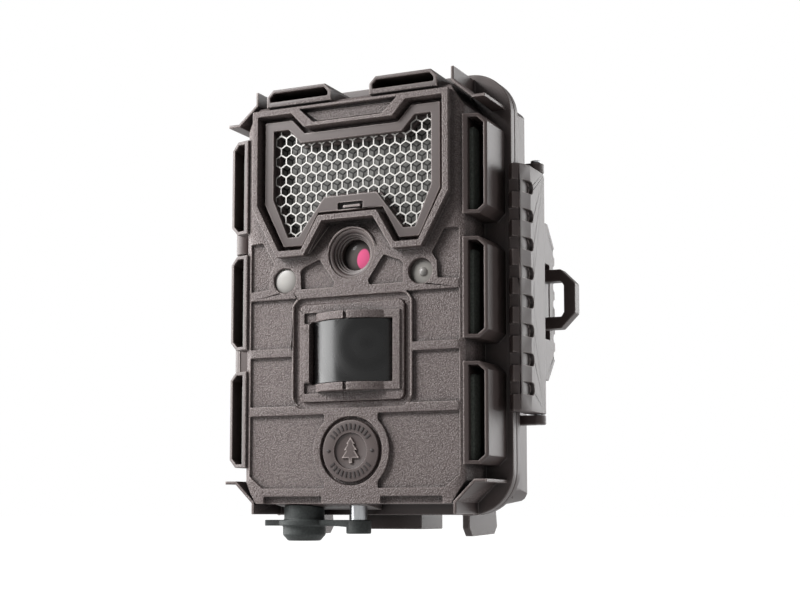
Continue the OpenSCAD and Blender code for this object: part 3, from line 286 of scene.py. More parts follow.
def filter_plastic():
    """Smoked acrylic over the emitters with the mesh's shadow painted on: grey cells between sharp dark
    lines.
    """
    sizes = bpy.context.scene.trailcam_sizes
    made, tree, shader, place = material("acrylic_smoked_mesh_shadow", linear("#6f6e6b"), 0.35)
    pitch = sizes.lattice_pitch
    rise = pitch * math.sqrt(3)
    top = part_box("led_bezel")[1].z
    # the painted shadow is shifted from the mesh as the mesh's shadow falls on the acrylic
    shift = Vector((-1.54 * MM, 0, top + 0.885 * MM + pitch / math.sqrt(3)))
    flat = add(tree, "ShaderNodeVectorMath", {0: place, 1: shift}, operation="SUBTRACT")
    flat = add(tree, "ShaderNodeVectorMath", {0: flat.outputs[0], 1: (1.0, 0.0, 1.0)}, operation="MULTIPLY")
    step = Vector((pitch, 1.0, rise))
    half = step / 2
    near = []
    for offset in (Vector((0, 0, 0)), half):
        moved = add(tree, "ShaderNodeVectorMath", {0: flat.outputs[0], 1: half - offset}, operation="ADD")
        cell = add(
            tree, "ShaderNodeVectorMath", {0: moved.outputs[0], 1: (0, 0, 0), 2: step}, operation="WRAP"
        )
        local = add(tree, "ShaderNodeVectorMath", {0: cell.outputs[0], 1: half}, operation="SUBTRACT")
        local = add(
            tree, "ShaderNodeVectorMath", {0: local.outputs[0], 1: (1.0, 0.0, 1.0)}, operation="MULTIPLY"
        )
        folded = add(tree, "ShaderNodeVectorMath", {0: local.outputs[0]}, operation="ABSOLUTE")
        slant = add(
            tree,
            "ShaderNodeVectorMath",
            {0: folded.outputs[0], 1: (0.5, 0, math.sqrt(3) / 2)},
            operation="DOT_PRODUCT",
        )
        side = add(tree, "ShaderNodeSeparateXYZ", {0: folded.outputs[0]})
        near.append(add(
            tree, "ShaderNodeMath", {0: slant.outputs["Value"], 1: side.outputs[0]}, operation="MAXIMUM"
        ).outputs[0])
    edge = add(tree, "ShaderNodeMath", {0: near[0], 1: near[1]}, operation="MINIMUM")
    reach = pitch / 2 - sizes.lattice_line / 2
    line = add(
        tree,
        "ShaderNodeMapRange",
        {"Value": edge.outputs[0], "From Min": reach - 0.00004, "From Max": reach + 0.00004},
    )
    fleck = add(tree, "ShaderNodeTexNoise", {"Vector": place, "Scale": per_mm(0.9), "Detail": 2.0})
    grey = add(
        tree,
        "ShaderNodeMix",
        {0: fleck.outputs["Fac"], 6: linear("#656461"), 7: linear("#83827e")},
        data_type="RGBA",
    )
    # painted shadow: near-black lines where the mesh's shadow falls on the grey acrylic
    tint = add(
        tree,
        "ShaderNodeMix",
        {0: line.outputs[0], 6: grey.outputs[2], 7: linear("#120f0d")},
        data_type="RGBA",
    )
    tree.links.new(tint.outputs[2], shader.inputs["Base Color"])
    return made


def lens_coating():
    """Coated lens glass: grey-brown with painted shade darkening it away from a point low on the right, and a
    painted magenta reflection low on the right.
    """
    made, tree, shader, place = material("glass_lens_coated", linear("#5f5a58"), 0.2, Specular_IOR_Level=0.08)
    middle = (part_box("lens_glass")[0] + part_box("lens_glass")[1]) / 2
    # painted reflection: a magenta oval where the coating reflects a lamp
    reflection_spot = add(
        tree,
        "ShaderNodeVectorMath",
        {0: place, 1: middle + Vector((2.1, 0, -1.3)) * MM},
        operation="SUBTRACT",
    )
    turn = add(tree, "ShaderNodeMapping", {"Vector": reflection_spot.outputs[0], "Rotation": (0, math.radians(-12), 0)})
    oval = add(
        tree,
        "ShaderNodeVectorMath",
        {0: turn.outputs[0], 1: (1000 / 2.0, 0, 1000 / 3.2)},
        operation="MULTIPLY",
    )
    reach = add(tree, "ShaderNodeVectorMath", {0: oval.outputs[0]}, operation="LENGTH")
    mask = add(
        tree, "ShaderNodeMapRange", {"Value": reach.outputs["Value"], "From Min": 1.08, "From Max": 0.94}
    )
    # painted shade: darker with distance from a point low on the right, so darkest up and to the left
    depth = add(
        tree,
        "ShaderNodeVectorMath",
        {0: place, 1: middle + Vector((1.2, 0, -1.2)) * MM},
        operation="DISTANCE",
    )
    fade = add(
        tree, "ShaderNodeMapRange", {"Value": depth.outputs["Value"], "From Min": 0.003, "From Max": 0.0068}
    )
    deep = add(
        tree,
        "ShaderNodeMix",
        {0: fade.outputs[0], 6: linear("#5d5856"), 7: linear("#1c1817")},
        data_type="RGBA",
    )
    tint = add(
        tree,
        "ShaderNodeMix",
        {0: mask.outputs[0], 6: deep.outputs[2], 7: linear("#ef6a98")},
        data_type="RGBA",
    )
    tree.links.new(tint.outputs[2], shader.inputs["Base Color"])
    return made


def sensor_film():
    """Black polyethylene film over the motion sensor: glossy, with the faint rings of its lens array."""
    made, tree, shader, place = material(
        "polyethylene_black_film", linear("#090909"), 0.24, Specular_IOR_Level=0.6
    )
    lo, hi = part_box("pir_lens")
    middle = (lo + hi) / 2
    spot = add(tree, "ShaderNodeMapping", {"Vector": place, "Location": -(middle + Vector((7, 0, 2)) * MM)})
    rings = add(
        tree,
        "ShaderNodeTexWave",
        {"Vector": spot.outputs[0], "Scale": per_mm(22.0), "Distortion": 0.4},
        wave_type="RINGS",
        rings_direction="Y",
    )
    rough = add(tree, "ShaderNodeMapRange", {"Value": rings.outputs["Fac"], "To Min": 0.22, "To Max": 0.3})
    bump = add(
        tree, "ShaderNodeBump", {"Height": rings.outputs["Fac"], "Strength": 0.05, "Distance": 0.00004}
    )
    tree.links.new(rough.outputs[0], shader.inputs["Roughness"])
    tree.links.new(bump.outputs[0], shader.inputs["Normal"])
    return made


def window_plastic(name, node, rim, heart, offset, roughness):
    """Polycarbonate window: a painted highlight over a heart set off its middle, and painted shade darker
    towards its rim.
    """
    made, tree, shader, place = material(name, linear(heart), roughness, Coat_Weight=0.15, Coat_Roughness=0.2)
    lo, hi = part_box(node)
    middle = (lo + hi) / 2 + Vector(offset) * MM
    reach = add(tree, "ShaderNodeVectorMath", {0: place, 1: middle}, operation="DISTANCE")
    fade = add(
        tree,
        "ShaderNodeMapRange",
        {"Value": reach.outputs["Value"], "From Min": 0.0012, "From Max": 0.0062},
        interpolation_type="SMOOTHSTEP",
    )
    cloud = add(tree, "ShaderNodeTexNoise", {"Vector": place, "Scale": per_mm(3.0), "Detail": 2.0})
    mixed = add(
        tree,
        "ShaderNodeMath",
        {0: fade.outputs[0], 1: cloud.outputs["Fac"], 2: -0.12},
        operation="MULTIPLY_ADD",
    )
    # painted highlight over the heart, painted shade towards the rim
    tint = add(
        tree, "ShaderNodeMix", {0: fade.outputs[0], 6: linear(heart), 7: linear(rim)}, data_type="RGBA"
    )
    rough = add(
        tree,
        "ShaderNodeMapRange",
        {"Value": mixed.outputs[0], "To Min": roughness, "To Max": roughness + 0.12},
    )
    tree.links.new(tint.outputs[2], shader.inputs["Base Color"])
    tree.links.new(rough.outputs[0], shader.inputs["Roughness"])
    return made


def circuit_board():
    """Glass-epoxy board with green solder mask: copper tracks show as a paler green maze."""
    made, tree, shader, place = material(
        "glass_epoxy_board", linear("#14522f"), 0.38, Coat_Weight=0.4, Coat_Roughness=0.2
    )
    flat = add(tree, "ShaderNodeMapping", {"Vector": place, "Rotation": (math.radians(90), 0, 0)})
    tracks = add(
        tree,
        "ShaderNodeTexBrick",
        {
            "Vector": flat.outputs[0],
            "Scale": per_mm(4.0),
            "Mortar Size": 0.045,
            "Color1": linear("#0f4428"),
            "Color2": linear("#17583a"),
            "Mortar": linear("#3c8a5c"),
        },
    )
    tree.links.new(tracks.outputs["Color"], shader.inputs["Base Color"])
    return made


FINISHES = {}


def finish(name):
    """The finish of that name, made the first time that it is asked for."""
    makers = {
        "case": pebbled_abs,
        "satin": satin_abs,
        # dull black whose fine tooth keeps highlights wide
        "tray": lambda: grained("ABS_black_moulded", "#1b1b1c", "#2a2a2b", 0.6, 0.35, 0.55),
        # charcoal, a little smoother than the tray
        "panel": lambda: grained("ABS_charcoal_moulded", "#2b2b2d", "#3b3b3d", 0.5, 0.3, 0.5),
        # near black with a green cast, soft and almost without highlights
        "rubber": lambda: grained("rubber_moulded", "#232726", "#363b3a", 0.8, 0.3, 0.6),
        # grey-green open foam, fully matt
        "pad": lambda: grained("foam_rubber_pad", "#3b403b", "#5b605a", 0.6, 0.5, 0.85),
        # black, with a faint bloom
        "seal": lambda: grained("silicone_seal", "#17191a", "#26292a", 0.7, 0.25, 0.65),
        # pale drawn steel with soft streaked highlights
        "steel": lambda: brushed("steel_zinc_plated", "#9a9c9e", "#c9cbcd", 0.3),
        "mesh": coated_mesh,
        # yellow metal with turning streaks
        "brass": lambda: brushed("brass_turned", "#a3823e", "#cdb06a", 0.3),
        "filter": filter_plastic,
        "lens": lens_coating,
        # black metal with a tight grey sheen
        "barrel": lambda: grained("aluminium_black_anodised", "#111111", "#1d1d1e", 0.4, 0.1, 0.4),
        "film": sensor_film,
        # frosted, pale and even, with its painted highlight up and to the left and painted shade at its rim
        "left_window": lambda: window_plastic(
            "polycarbonate_milky", "left_window", "#6d6966", "#a3a09c", (-0.6, 0, 0.9), 0.42
        ),
        # smoked, with more shine than the frosted one, and its painted highlight low on the right
        "right_window": lambda: window_plastic(
            "polycarbonate_clear", "right_window", "#5f5b58", "#8f8c87", (0.6, 0, -0.3), 0.2
        ),
        "board": circuit_board,
        # glassy pale castings with small bright highlights
        "resin": lambda: grained("epoxy_clear_cast", "#c9ccd0", "#e1e3e6", 2.0, 0.05, 0.12, Coat_Weight=0.5),
        # a smoked casting that stays grey in its window
        "lamp": lambda: grained("epoxy_smoked_cast", "#767370", "#95928e", 1.5, 0.1, 0.3),
        # dark shrunk sleeve with a long highlight down each cell
        "wrap": lambda: grained("pvc_sleeve_graphite", "#23272e", "#31363f", 5.0, 0.0, 0.25, Coat_Weight=0.5),
        # soft grey keys, matt
        "key": lambda: grained("silicone_key_grey", "#8b8c8d", "#a2a3a4", 0.5, 0.2, 0.55),
        # flat black ink
        "legend": lambda: grained("ink_pad_printed", "#1d1e1f", "#2a2b2c", 0.4, 0.1, 0.5),
        # blue, slightly glossy
        "card": lambda: grained("ABS_card_blue", "#1f3f77", "#2b4f8c", 0.6, 0.12, 0.4),
        # near-black glass with clear reflections
        "screen": lambda: grained(
            "glass_display_dark", "#141a1c", "#1c2427", 6.0, 0.0, 0.08, Coat_Weight=1.0
        ),
        # dark brown painted shade that makes the ticks read, standing in for the shadow inside engraved ticks
        "tick_shade": lambda: grained("tick_shade_brown", "#1f1817", "#2b2221", 0.5, 0.15, 0.6),
    }
    if name not in FINISHES:
        FINISHES[name] = makers[name]()
    return FINISHES[name]


# ---- shapes ----


def settle(obj, node, finish_name=None, body=None):
    """Puts a piece on the body of a CAD node, and gives it a finish when one is named."""
    if finish_name:
        obj.data.materials.clear()
        obj.data.materials.append(finish(finish_name))
    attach(obj, body or BODY_OF[node])
    return obj


def object_from(bm, name):
    """A new object at the origin from a bmesh, which is freed."""
    mesh = bpy.data.meshes.new(name)
    bm.to_mesh(mesh)
    bm.free()
    made = bpy.data.objects.new(name, mesh)
    bpy.context.scene.collection.objects.link(made)
    return made


def rounded(obj, radius, rounds=2, crease=30.0):
    """Rolls every sharp edge over by radius, and shades flats flat and curves smooth."""
    for face in obj.data.polygons:
        face.use_smooth = True
    bevel = obj.modifiers.new("edges", "BEVEL")
    bevel.width = radius
    bevel.segments = rounds
    bevel.limit_method = "ANGLE"
    bevel.angle_limit = math.radians(crease)
    bevel.use_clamp_overlap = False
    bevel.miter_outer = "MITER_ARC"
    even = obj.modifiers.new("shading", "WEIGHTED_NORMAL")
    even.mode = "FACE_AREA"
    even.weight = 80
    return obj


def softened(node, name, radius, finish_name, rounds=2, crease=30.0):
    """A CAD node's own shape with its edges rolled over, shown in its place."""
    bm = bmesh.new()
    bm.from_mesh(frame["nodes"][node].data)
    bmesh.ops.remove_doubles(bm, verts=bm.verts, dist=0.000002)
    bmesh.ops.dissolve_limit(
        bm,
        angle_limit=math.radians(0.5),
        verts=bm.verts,
        edges=bm.edges,
        use_dissolve_boundaries=False,
        delimit={"NORMAL"},
    )
    bmesh.ops.triangulate(bm, faces=bm.faces, quad_method="BEAUTY", ngon_method="BEAUTY")
    made = object_from(bm, name)
    rounded(made, radius, rounds, crease)
    settle(made, node, finish_name)
    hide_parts(node)
    return made


def carried(node, finish_name):
    """Gives a CAD node that keeps its own shape a finish."""
    data = frame["nodes"][node].data
    data.materials.clear()
    data.materials.append(finish(finish_name))


def turned(name, profile, place, steps=64):
    """Spins a profile of (radius, depth) points in millimetres about the line along Y through place."""
    bm = bmesh.new()
    verts = [bm.verts.new(Vector((r * MM, y * MM, 0))) for r, y in profile]
    edges = [bm.edges.new(pair) for pair in zip(verts, verts[1:])]
    bmesh.ops.spin(
        bm, geom=verts + edges, cent=(0, 0, 0), axis=(0, 1, 0), angle=math.tau, steps=steps, use_merge=True
    )
    bmesh.ops.remove_doubles(bm, verts=bm.verts, dist=0.000001)
    bmesh.ops.recalc_face_normals(bm, faces=bm.faces)
    bmesh.ops.translate(bm, vec=place, verts=bm.verts)
    made = object_from(bm, name)
    for face in made.data.polygons:
        face.use_smooth = True
    made.data.set_sharp_from_angle(angle=math.radians(32))
    return made


def plate(bm, outline, depth0, depth1):
    """Adds a flat plate to a bmesh: an outline of (x, z) points, between two depths along Y, in mm."""
    verts = [bm.verts.new(Vector((x * MM, depth0 * MM, z * MM))) for x, z in outline]
    face = bm.faces.new(verts)
    grown = bmesh.ops.extrude_face_region(bm, geom=[face])
    moved = [v for v in grown["geom"] if isinstance(v, bmesh.types.BMVert)]
    bmesh.ops.translate(bm, vec=(0, (depth1 - depth0) * MM, 0), verts=moved)
    return verts + moved


# ---- sizes and colours that a user would change ----


class TrailcamSizes(bpy.types.PropertyGroup):
    """Sizes of the finish and of the softened edges."""

    shell_edge: FloatProperty(
        name="Shell edge", description="How far the shells' edges roll over", default=0.00032, unit="LENGTH"
    )
    fine_edge: FloatProperty(
        name="Fine edge", description="Edge radius of the small fittings", default=0.00015, unit="LENGTH"
    )
    pebble: FloatProperty(
        name="Pebble", description="Size of one pebble in the case's texture", default=0.00034, unit="LENGTH"
    )
    # pitch of the mesh, and of its shadow painted on the filter
    lattice_pitch: FloatProperty(
        name="Lattice pitch", description="Distance across one printed cell", default=0.00375, unit="LENGTH"
    )
    # width of the dark lines, the mesh's painted shadow on the filter
    lattice_line: FloatProperty(
        name="Lattice line", description="Width of the printed lines", default=0.00055, unit="LENGTH"
    )
    ticks: IntProperty(
        name="Badge ticks", description="Ticks in each of the badge's two arcs", default=11, min=3
    )


class TrailcamColours(bpy.types.PropertyGroup):
    """Colours of the case and its window."""

    # painted shade: darker than the pebble tops, where shade falls between the pebbles
    case_low: FloatVectorProperty(
        name="Case hollows",
        description="Colour between the pebbles",
        subtype="COLOR",
        default=linear("#544947")[:3],
    )
    # painted highlight: paler than the hollows, where light falls on the pebble tops
    case_high: FloatVectorProperty(
        name="Case tops",
        description="Colour on top of the pebbles",
        subtype="COLOR",
        default=linear("#6e6361")[:3],
    )
    bezel: FloatVectorProperty(
        name="Bezel",
        description="Colour of the smooth bezel and badge",
        subtype="COLOR",
        default=linear("#493e3c")[:3],
    )


# ---- operators ----


class TRAILCAM_OT_shells(bpy.types.Operator):
    """Both case shells with their guards, fins and rails, the seal and the pads in the guards"""

    bl_idname = "trailcam.shells"
    bl_label = "Case shells"

    def execute(self, context):
        edge = context.scene.trailcam_sizes.shell_edge
        door = softened("front_housing", "door_shell", edge, "satin")
        door.data.materials.append(finish("case"))
        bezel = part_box("led_bezel")
        half = bezel[1].x + FACE_SIDE
        top = bezel[1].z + FACE_ABOVE
        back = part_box("case_gasket")[0].y - FLANGE_FRONT
        bottom = CAD_BOX[0].z + FACE_BELOW
        for face in door.data.polygons:
            spot = face.center
            if abs(spot.x) < half and bottom < spot.z < top and spot.y < back:
                face.material_index = 1
        softened("rear_housing", "rear_shell", edge, "satin")
        softened("case_gasket", "case_seal", edge / 2, "seal")
        wall = (bezel[1].x - bezel[0].x) / 2 + GUARD_WALL
        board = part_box("main_board")
        mid = (board[0].z + board[1].z) / 2 + GUARD_ABOVE_BOARD
        outline = [(2.1, -12.6), (3.0, -13.6), (7.4, -13.6), (7.4, 13.6), (3.0, 13.6), (2.1, 12.6)]
        upright = Matrix.Rotation(math.radians(90), 3, "Z")
        for side, word in ((-1, "left"), (1, "right")):
            bm = bmesh.new()
            for rise in (-GUARD_PITCH, 0, GUARD_PITCH):
                strip = plate(bm, outline, -0.4, 1.2)
                bmesh.ops.rotate(bm, cent=(0, 0, 0), matrix=upright, verts=strip)
                bmesh.ops.scale(bm, vec=(-side, 1, 1), verts=strip)
                bmesh.ops.translate(bm, vec=(side * wall, FACE_Y, mid + rise), verts=strip)
            bmesh.ops.recalc_face_normals(bm, faces=bm.faces)
            pads = rounded(object_from(bm, "guard_pads_" + word), 0.0003)
            settle(pads, "front_housing", "pad")
        return {"FINISHED"}


class TRAILCAM_OT_latch(bpy.types.Operator):
    """The latch lever with its finger notches, and the latch and hinge pins"""

    bl_idname = "trailcam.latch"
    bl_label = "Latch and hinge"

    def execute(self, context):
        sizes = context.scene.trailcam_sizes
        softened("latch_lever", "latch_handle", sizes.shell_edge, "satin")
        softened("latch_pin", "latch_rod", sizes.fine_edge, "steel")
        softened("hinge_pin", "hinge_rod", sizes.fine_edge, "steel")
        return {"FINISHED"}


class TRAILCAM_OT_infrared_window(bpy.types.Operator):
    """The bezel, the wire mesh, the filter with the mesh's shadow painted on, and the emitters behind it"""

    bl_idname = "trailcam.infrared_window"
    bl_label = "Infrared window"

    def execute(self, context):
        sizes = context.scene.trailcam_sizes
        softened("led_bezel", "window_bezel", sizes.shell_edge, "satin", rounds=3)
        carried("led_mesh", "mesh")
        carried("led_filter", "filter")
        carried("led_board", "board")
        carried("ir_leds", "resin")
        return {"FINISHED"}


class TRAILCAM_OT_lens(bpy.types.Operator):
    """The stepped ring, the coated front glass, the barrel and the image sensor"""

    bl_idname = "trailcam.lens"
    bl_label = "Camera lens"

    def execute(self, context):
        softened("lens_ring", "lens_steps", 0.00012, "satin")
        lo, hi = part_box("lens_glass")
        r = (hi.x - lo.x) / 2 / MM
        rim = (hi.y - lo.y) / MM
        profile = [
            (0, 0), (r * 0.25, 0.04), (r * 0.5, 0.2), (r * 0.75, 0.5), (r * 0.94, 0.82), (r, 0.95), (r, rim),
            (0, rim),
        ]
        glass = turned("lens_front_glass", profile, Vector(((lo.x + hi.x) / 2, lo.y, (lo.z + hi.z) / 2)), 96)
        settle(glass, "lens_glass", "lens")
        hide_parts("lens_glass")
        carried("lens_barrel", "barrel")
        carried("image_sensor", "screen")
        return {"FINISHED"}


class TRAILCAM_OT_round_windows(bpy.types.Operator):
    """The milky light window on the left, and the clear one with its lamp on the right"""

    bl_idname = "trailcam.round_windows"
    bl_label = "Round windows"

    def execute(self, context):
        for node, name, proud in (
            ("left_window", "light_window", 0.4), ("right_window", "lamp_window", 0.35)
        ):
            lo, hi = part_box(node)
            r = (hi.x - lo.x) / 2 / MM
            deep = (hi.y - lo.y) / MM
            profile = [
                (0, 0), (r * 0.3, 0.05 * proud), (r * 0.6, 0.3 * proud), (r * 0.85, 0.72 * proud),
                (r * 0.95, proud), (r, proud + 0.15), (r, deep), (0, deep),
            ]
            made = turned(name, profile, Vector(((lo.x + hi.x) / 2, lo.y, (lo.z + hi.z) / 2)))
            settle(made, node, node)
            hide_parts(node)
        lo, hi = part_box("right_window")
        dome = [(0, -0.75), (0.55, -0.68), (1.05, -0.45), (1.4, -0.12), (1.6, 0.3), (1.6, 0.5), (0, 0.5)]
        lamp = turned(
            "lamp_dome", dome, Vector(((lo.x + hi.x) / 2 + 0.0004, lo.y, (lo.z + hi.z) / 2 - 0.0002)), 48
        )
        settle(lamp, "right_window", "lamp")
        carried("light_sensor", "legend")
        carried("status_led", "resin")
        return {"FINISHED"}


class TRAILCAM_OT_motion_sensor(bpy.types.Operator):
    """The curved film of the motion sensor and the frame with its two bowed bars"""

    bl_idname = "trailcam.motion_sensor"
    bl_label = "Motion sensor"

    def execute(self, context):
        softened("pir_bezel", "sensor_frame", 0.0003, "case")
        softened("pir_lens", "sensor_film", 0.00025, "film", rounds=2, crease=40)
        carried("pir_sensor", "steel")
        return {"FINISHED"}


class TRAILCAM_OT_badge(bpy.types.Operator):
    """The round badge: a flat ring with two arcs of ticks and a fir tree in its field"""

    bl_idname = "trailcam.badge"
    bl_label = "Badge"

    def execute(self, context):
        lo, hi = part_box("badge")
        middle = Vector(((lo.x + hi.x) / 2, lo.y, (lo.z + hi.z) / 2))
        r = (hi.x - lo.x) / 2 / MM
        deep = (hi.y - lo.y) / MM
        ring = [
            (0, 0.75), (r - 4.4, 0.75), (r - 4.25, 0.7), (r - 4.2, 0.55), (r - 4.1, 0.12), (r - 4.0, 0.02),
            (r - 3.85, 0), (r - 0.5, 0), (r - 0.2, 0.06), (r, 0.3), (r, deep), (0, deep),
        ]
        disc = turned("badge_disc", ring, middle, 96)
        settle(disc, "badge", "satin")
        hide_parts("badge")
        bm = bmesh.new()
        count = context.scene.trailcam_sizes.ticks
        for start in (35.0, 215.0):
            for i in range(count):
                angle = math.radians(start + 110.0 * i / (count - 1))
                tick = plate(bm, [(-0.32, -0.95), (0.32, -0.95), (0.32, 0.95), (-0.32, 0.95)], -0.24, 0.2)
                bmesh.ops.translate(bm, vec=(0, 0, (r - 2.15) * MM), verts=tick)
                bmesh.ops.rotate(
                    bm, cent=(0, 0, 0), matrix=Matrix.Rotation(angle - math.pi / 2, 3, "Y"), verts=tick
                )
        for side in (-1, 1):
            gem = plate(bm, [(-0.8, 0), (0, -0.6), (0.8, 0), (0, 0.6)], -0.24, 0.2)
            bmesh.ops.translate(bm, vec=(side * (r - 2.15) * MM, 0, 0), verts=gem)
        bmesh.ops.recalc_face_normals(bm, faces=bm.faces)
        bmesh.ops.translate(bm, vec=middle, verts=bm.verts)
        ticks = rounded(object_from(bm, "badge_ticks"), 0.00004, 1)
        # the ticks and the two gems take the painted shade
        settle(ticks, "badge", "tick_shade")
        bm = bmesh.new()
        half = [
            (0.0, 4.3), (1.5, 2.2), (0.9, 2.2), (2.3, 0.2), (1.4, 0.2), (3.1, -2.3), (0.55, -2.3),
            (0.55, -3.9),
        ]
        plate(bm, half + [(-x, z) for x, z in reversed(half[1:])], 0.12, 0.8)
        bmesh.ops.recalc_face_normals(bm, faces=bm.faces)
        bmesh.ops.translate(bm, vec=middle, verts=bm.verts)
        tree = rounded(object_from(bm, "badge_tree"), 0.00014)
        settle(tree, "badge", "satin")
        return {"FINISHED"}


class TRAILCAM_OT_ports(bpy.types.Operator):
    """The power inlet, the post beside it and the rubber cover that spans both"""

    bl_idname = "trailcam.ports"
    bl_label = "Ports"

    def execute(self, context):
        sizes = context.scene.trailcam_sizes
        softened("port_cover", "rubber_cover", 0.0004, "rubber", rounds=3)
        softened("power_jack", "power_inlet", sizes.fine_edge, "steel")
        softened("leash_post", "leash_pin", sizes.fine_edge, "steel")
        return {"FINISHED"}


class TRAILCAM_OT_door_inside(bpy.types.Operator):
    """The inner panel with its screen, keys, switch and card, and the boards behind it"""

    bl_idname = "trailcam.door_inside"
    bl_label = "Inside of the door"

    def execute(self, context):
        sizes = context.scene.trailcam_sizes
        carried("inner_panel", "panel")
        softened("lcd_screen", "display_glass", sizes.fine_edge, "screen")
        softened("power_switch", "slide_switch", 0.0002, "legend")
        softened("sd_card", "memory_card", sizes.fine_edge, "card")
        softened("sd_socket", "card_socket", 0.0001, "steel", rounds=1)
        softened("usb_socket", "data_socket", 0.0001, "steel", rounds=1)
        softened("panel_screws", "panel_fixings", 0.0001, "steel")
        softened("board_screws", "board_fixings", 0.0001, "steel")
        softened("spring_contacts", "sprung_pins", 0.0001, "brass")
        carried("main_board", "board")
        arrows = {"key_up": 0, "key_right": 90, "key_down": 180, "key_left": 270, "key_ok": None}
        for node, turn in arrows.items():
            softened(node, node + "_cap", 0.0003, "key")
            lo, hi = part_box(node)
            bm = bmesh.new()
            if turn is None:
                outline = [(
                    1.1 * math.cos(math.radians(a)), 1.1 * math.sin(math.radians(a))
                ) for a in range(0, 360, 20)]
                mark = plate(bm, outline, -0.1, 0.05)
            else:
                mark = plate(bm, [(-1.3, -0.8), (1.3, -0.8), (0, 1.3)], -0.1, 0.05)
                bmesh.ops.rotate(
                    bm, cent=(0, 0, 0), matrix=Matrix.Rotation(math.radians(turn), 3, "Y"), verts=mark
                )
            bmesh.ops.recalc_face_normals(bm, faces=bm.faces)
            bmesh.ops.translate(bm, vec=((lo.x + hi.x) / 2, hi.y, (lo.z + hi.z) / 2), verts=bm.verts)
            legend = rounded(object_from(bm, node + "_mark"), 0.00003, 1)
            settle(legend, node, "legend")
        return {"FINISHED"}


class TRAILCAM_OT_cells(bpy.types.Operator):
    """The battery tray, eight sleeved cells, their springs, plates and screws"""

    bl_idname = "trailcam.cells"
    bl_label = "Tray and cells"

    def execute(self, context):
        softened("battery_tray", "cell_tray", 0.0003, "tray")
        softened("tray_screws", "tray_fixings", 0.0001, "steel")
        carried("battery_springs", "steel")
        carried("battery_contacts", "steel")
        for index in range(1, 9):
            node = f"aa_cell_{index}"
            lo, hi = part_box(node)
            r = (hi.x - lo.x) / 2 / MM
            long = (hi.z - lo.z) / MM
            sleeve = [
                (0, 0), (r - 1.4, 0), (r - 1.1, 0.15), (r - 0.75, 0.15), (r - 0.2, 0.3), (r, 0.6),
                (r, long - 2.0), (r - 0.2, long - 1.7), (r - 0.75, long - 1.5),
            ]
            top = [
                (r - 0.75, long - 1.35), (2.7, long - 1.2), (2.6, long - 1.0), (2.6, long - 0.2),
                (2.35, long), (0, long),
            ]
            made = turned(f"cell_{index}", sleeve + top, Vector((0, 0, 0)), 48)
            spin = Matrix.Rotation(math.radians(90), 4, "X")
            up = (index - 1) % 2 == 0
            if not up:
                spin = Matrix.Rotation(math.radians(-90), 4, "X")
            foot = lo.z if up else hi.z
            seat = Matrix.Translation(((lo.x + hi.x) / 2, (lo.y + hi.y) / 2, foot))
            made.data.transform(seat @ spin)
            settle(made, node, "wrap")
            made.data.materials.append(finish("steel"))
            for face in made.data.polygons:
                along = abs(face.center.z - foot) / MM
                if along < 0.25 or along > long - 1.45:
                    face.material_index = 1
            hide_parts(node)
        return {"FINISHED"}


class TRAILCAM_OT_socket(bpy.types.Operator):
    """The brass insert of the tripod socket with the start of its thread"""

    bl_idname = "trailcam.socket"
    bl_label = "Tripod socket"

    def execute(self, context):
        softened("tripod_insert", "socket_insert", 0.0002, "brass")
        return {"FINISHED"}


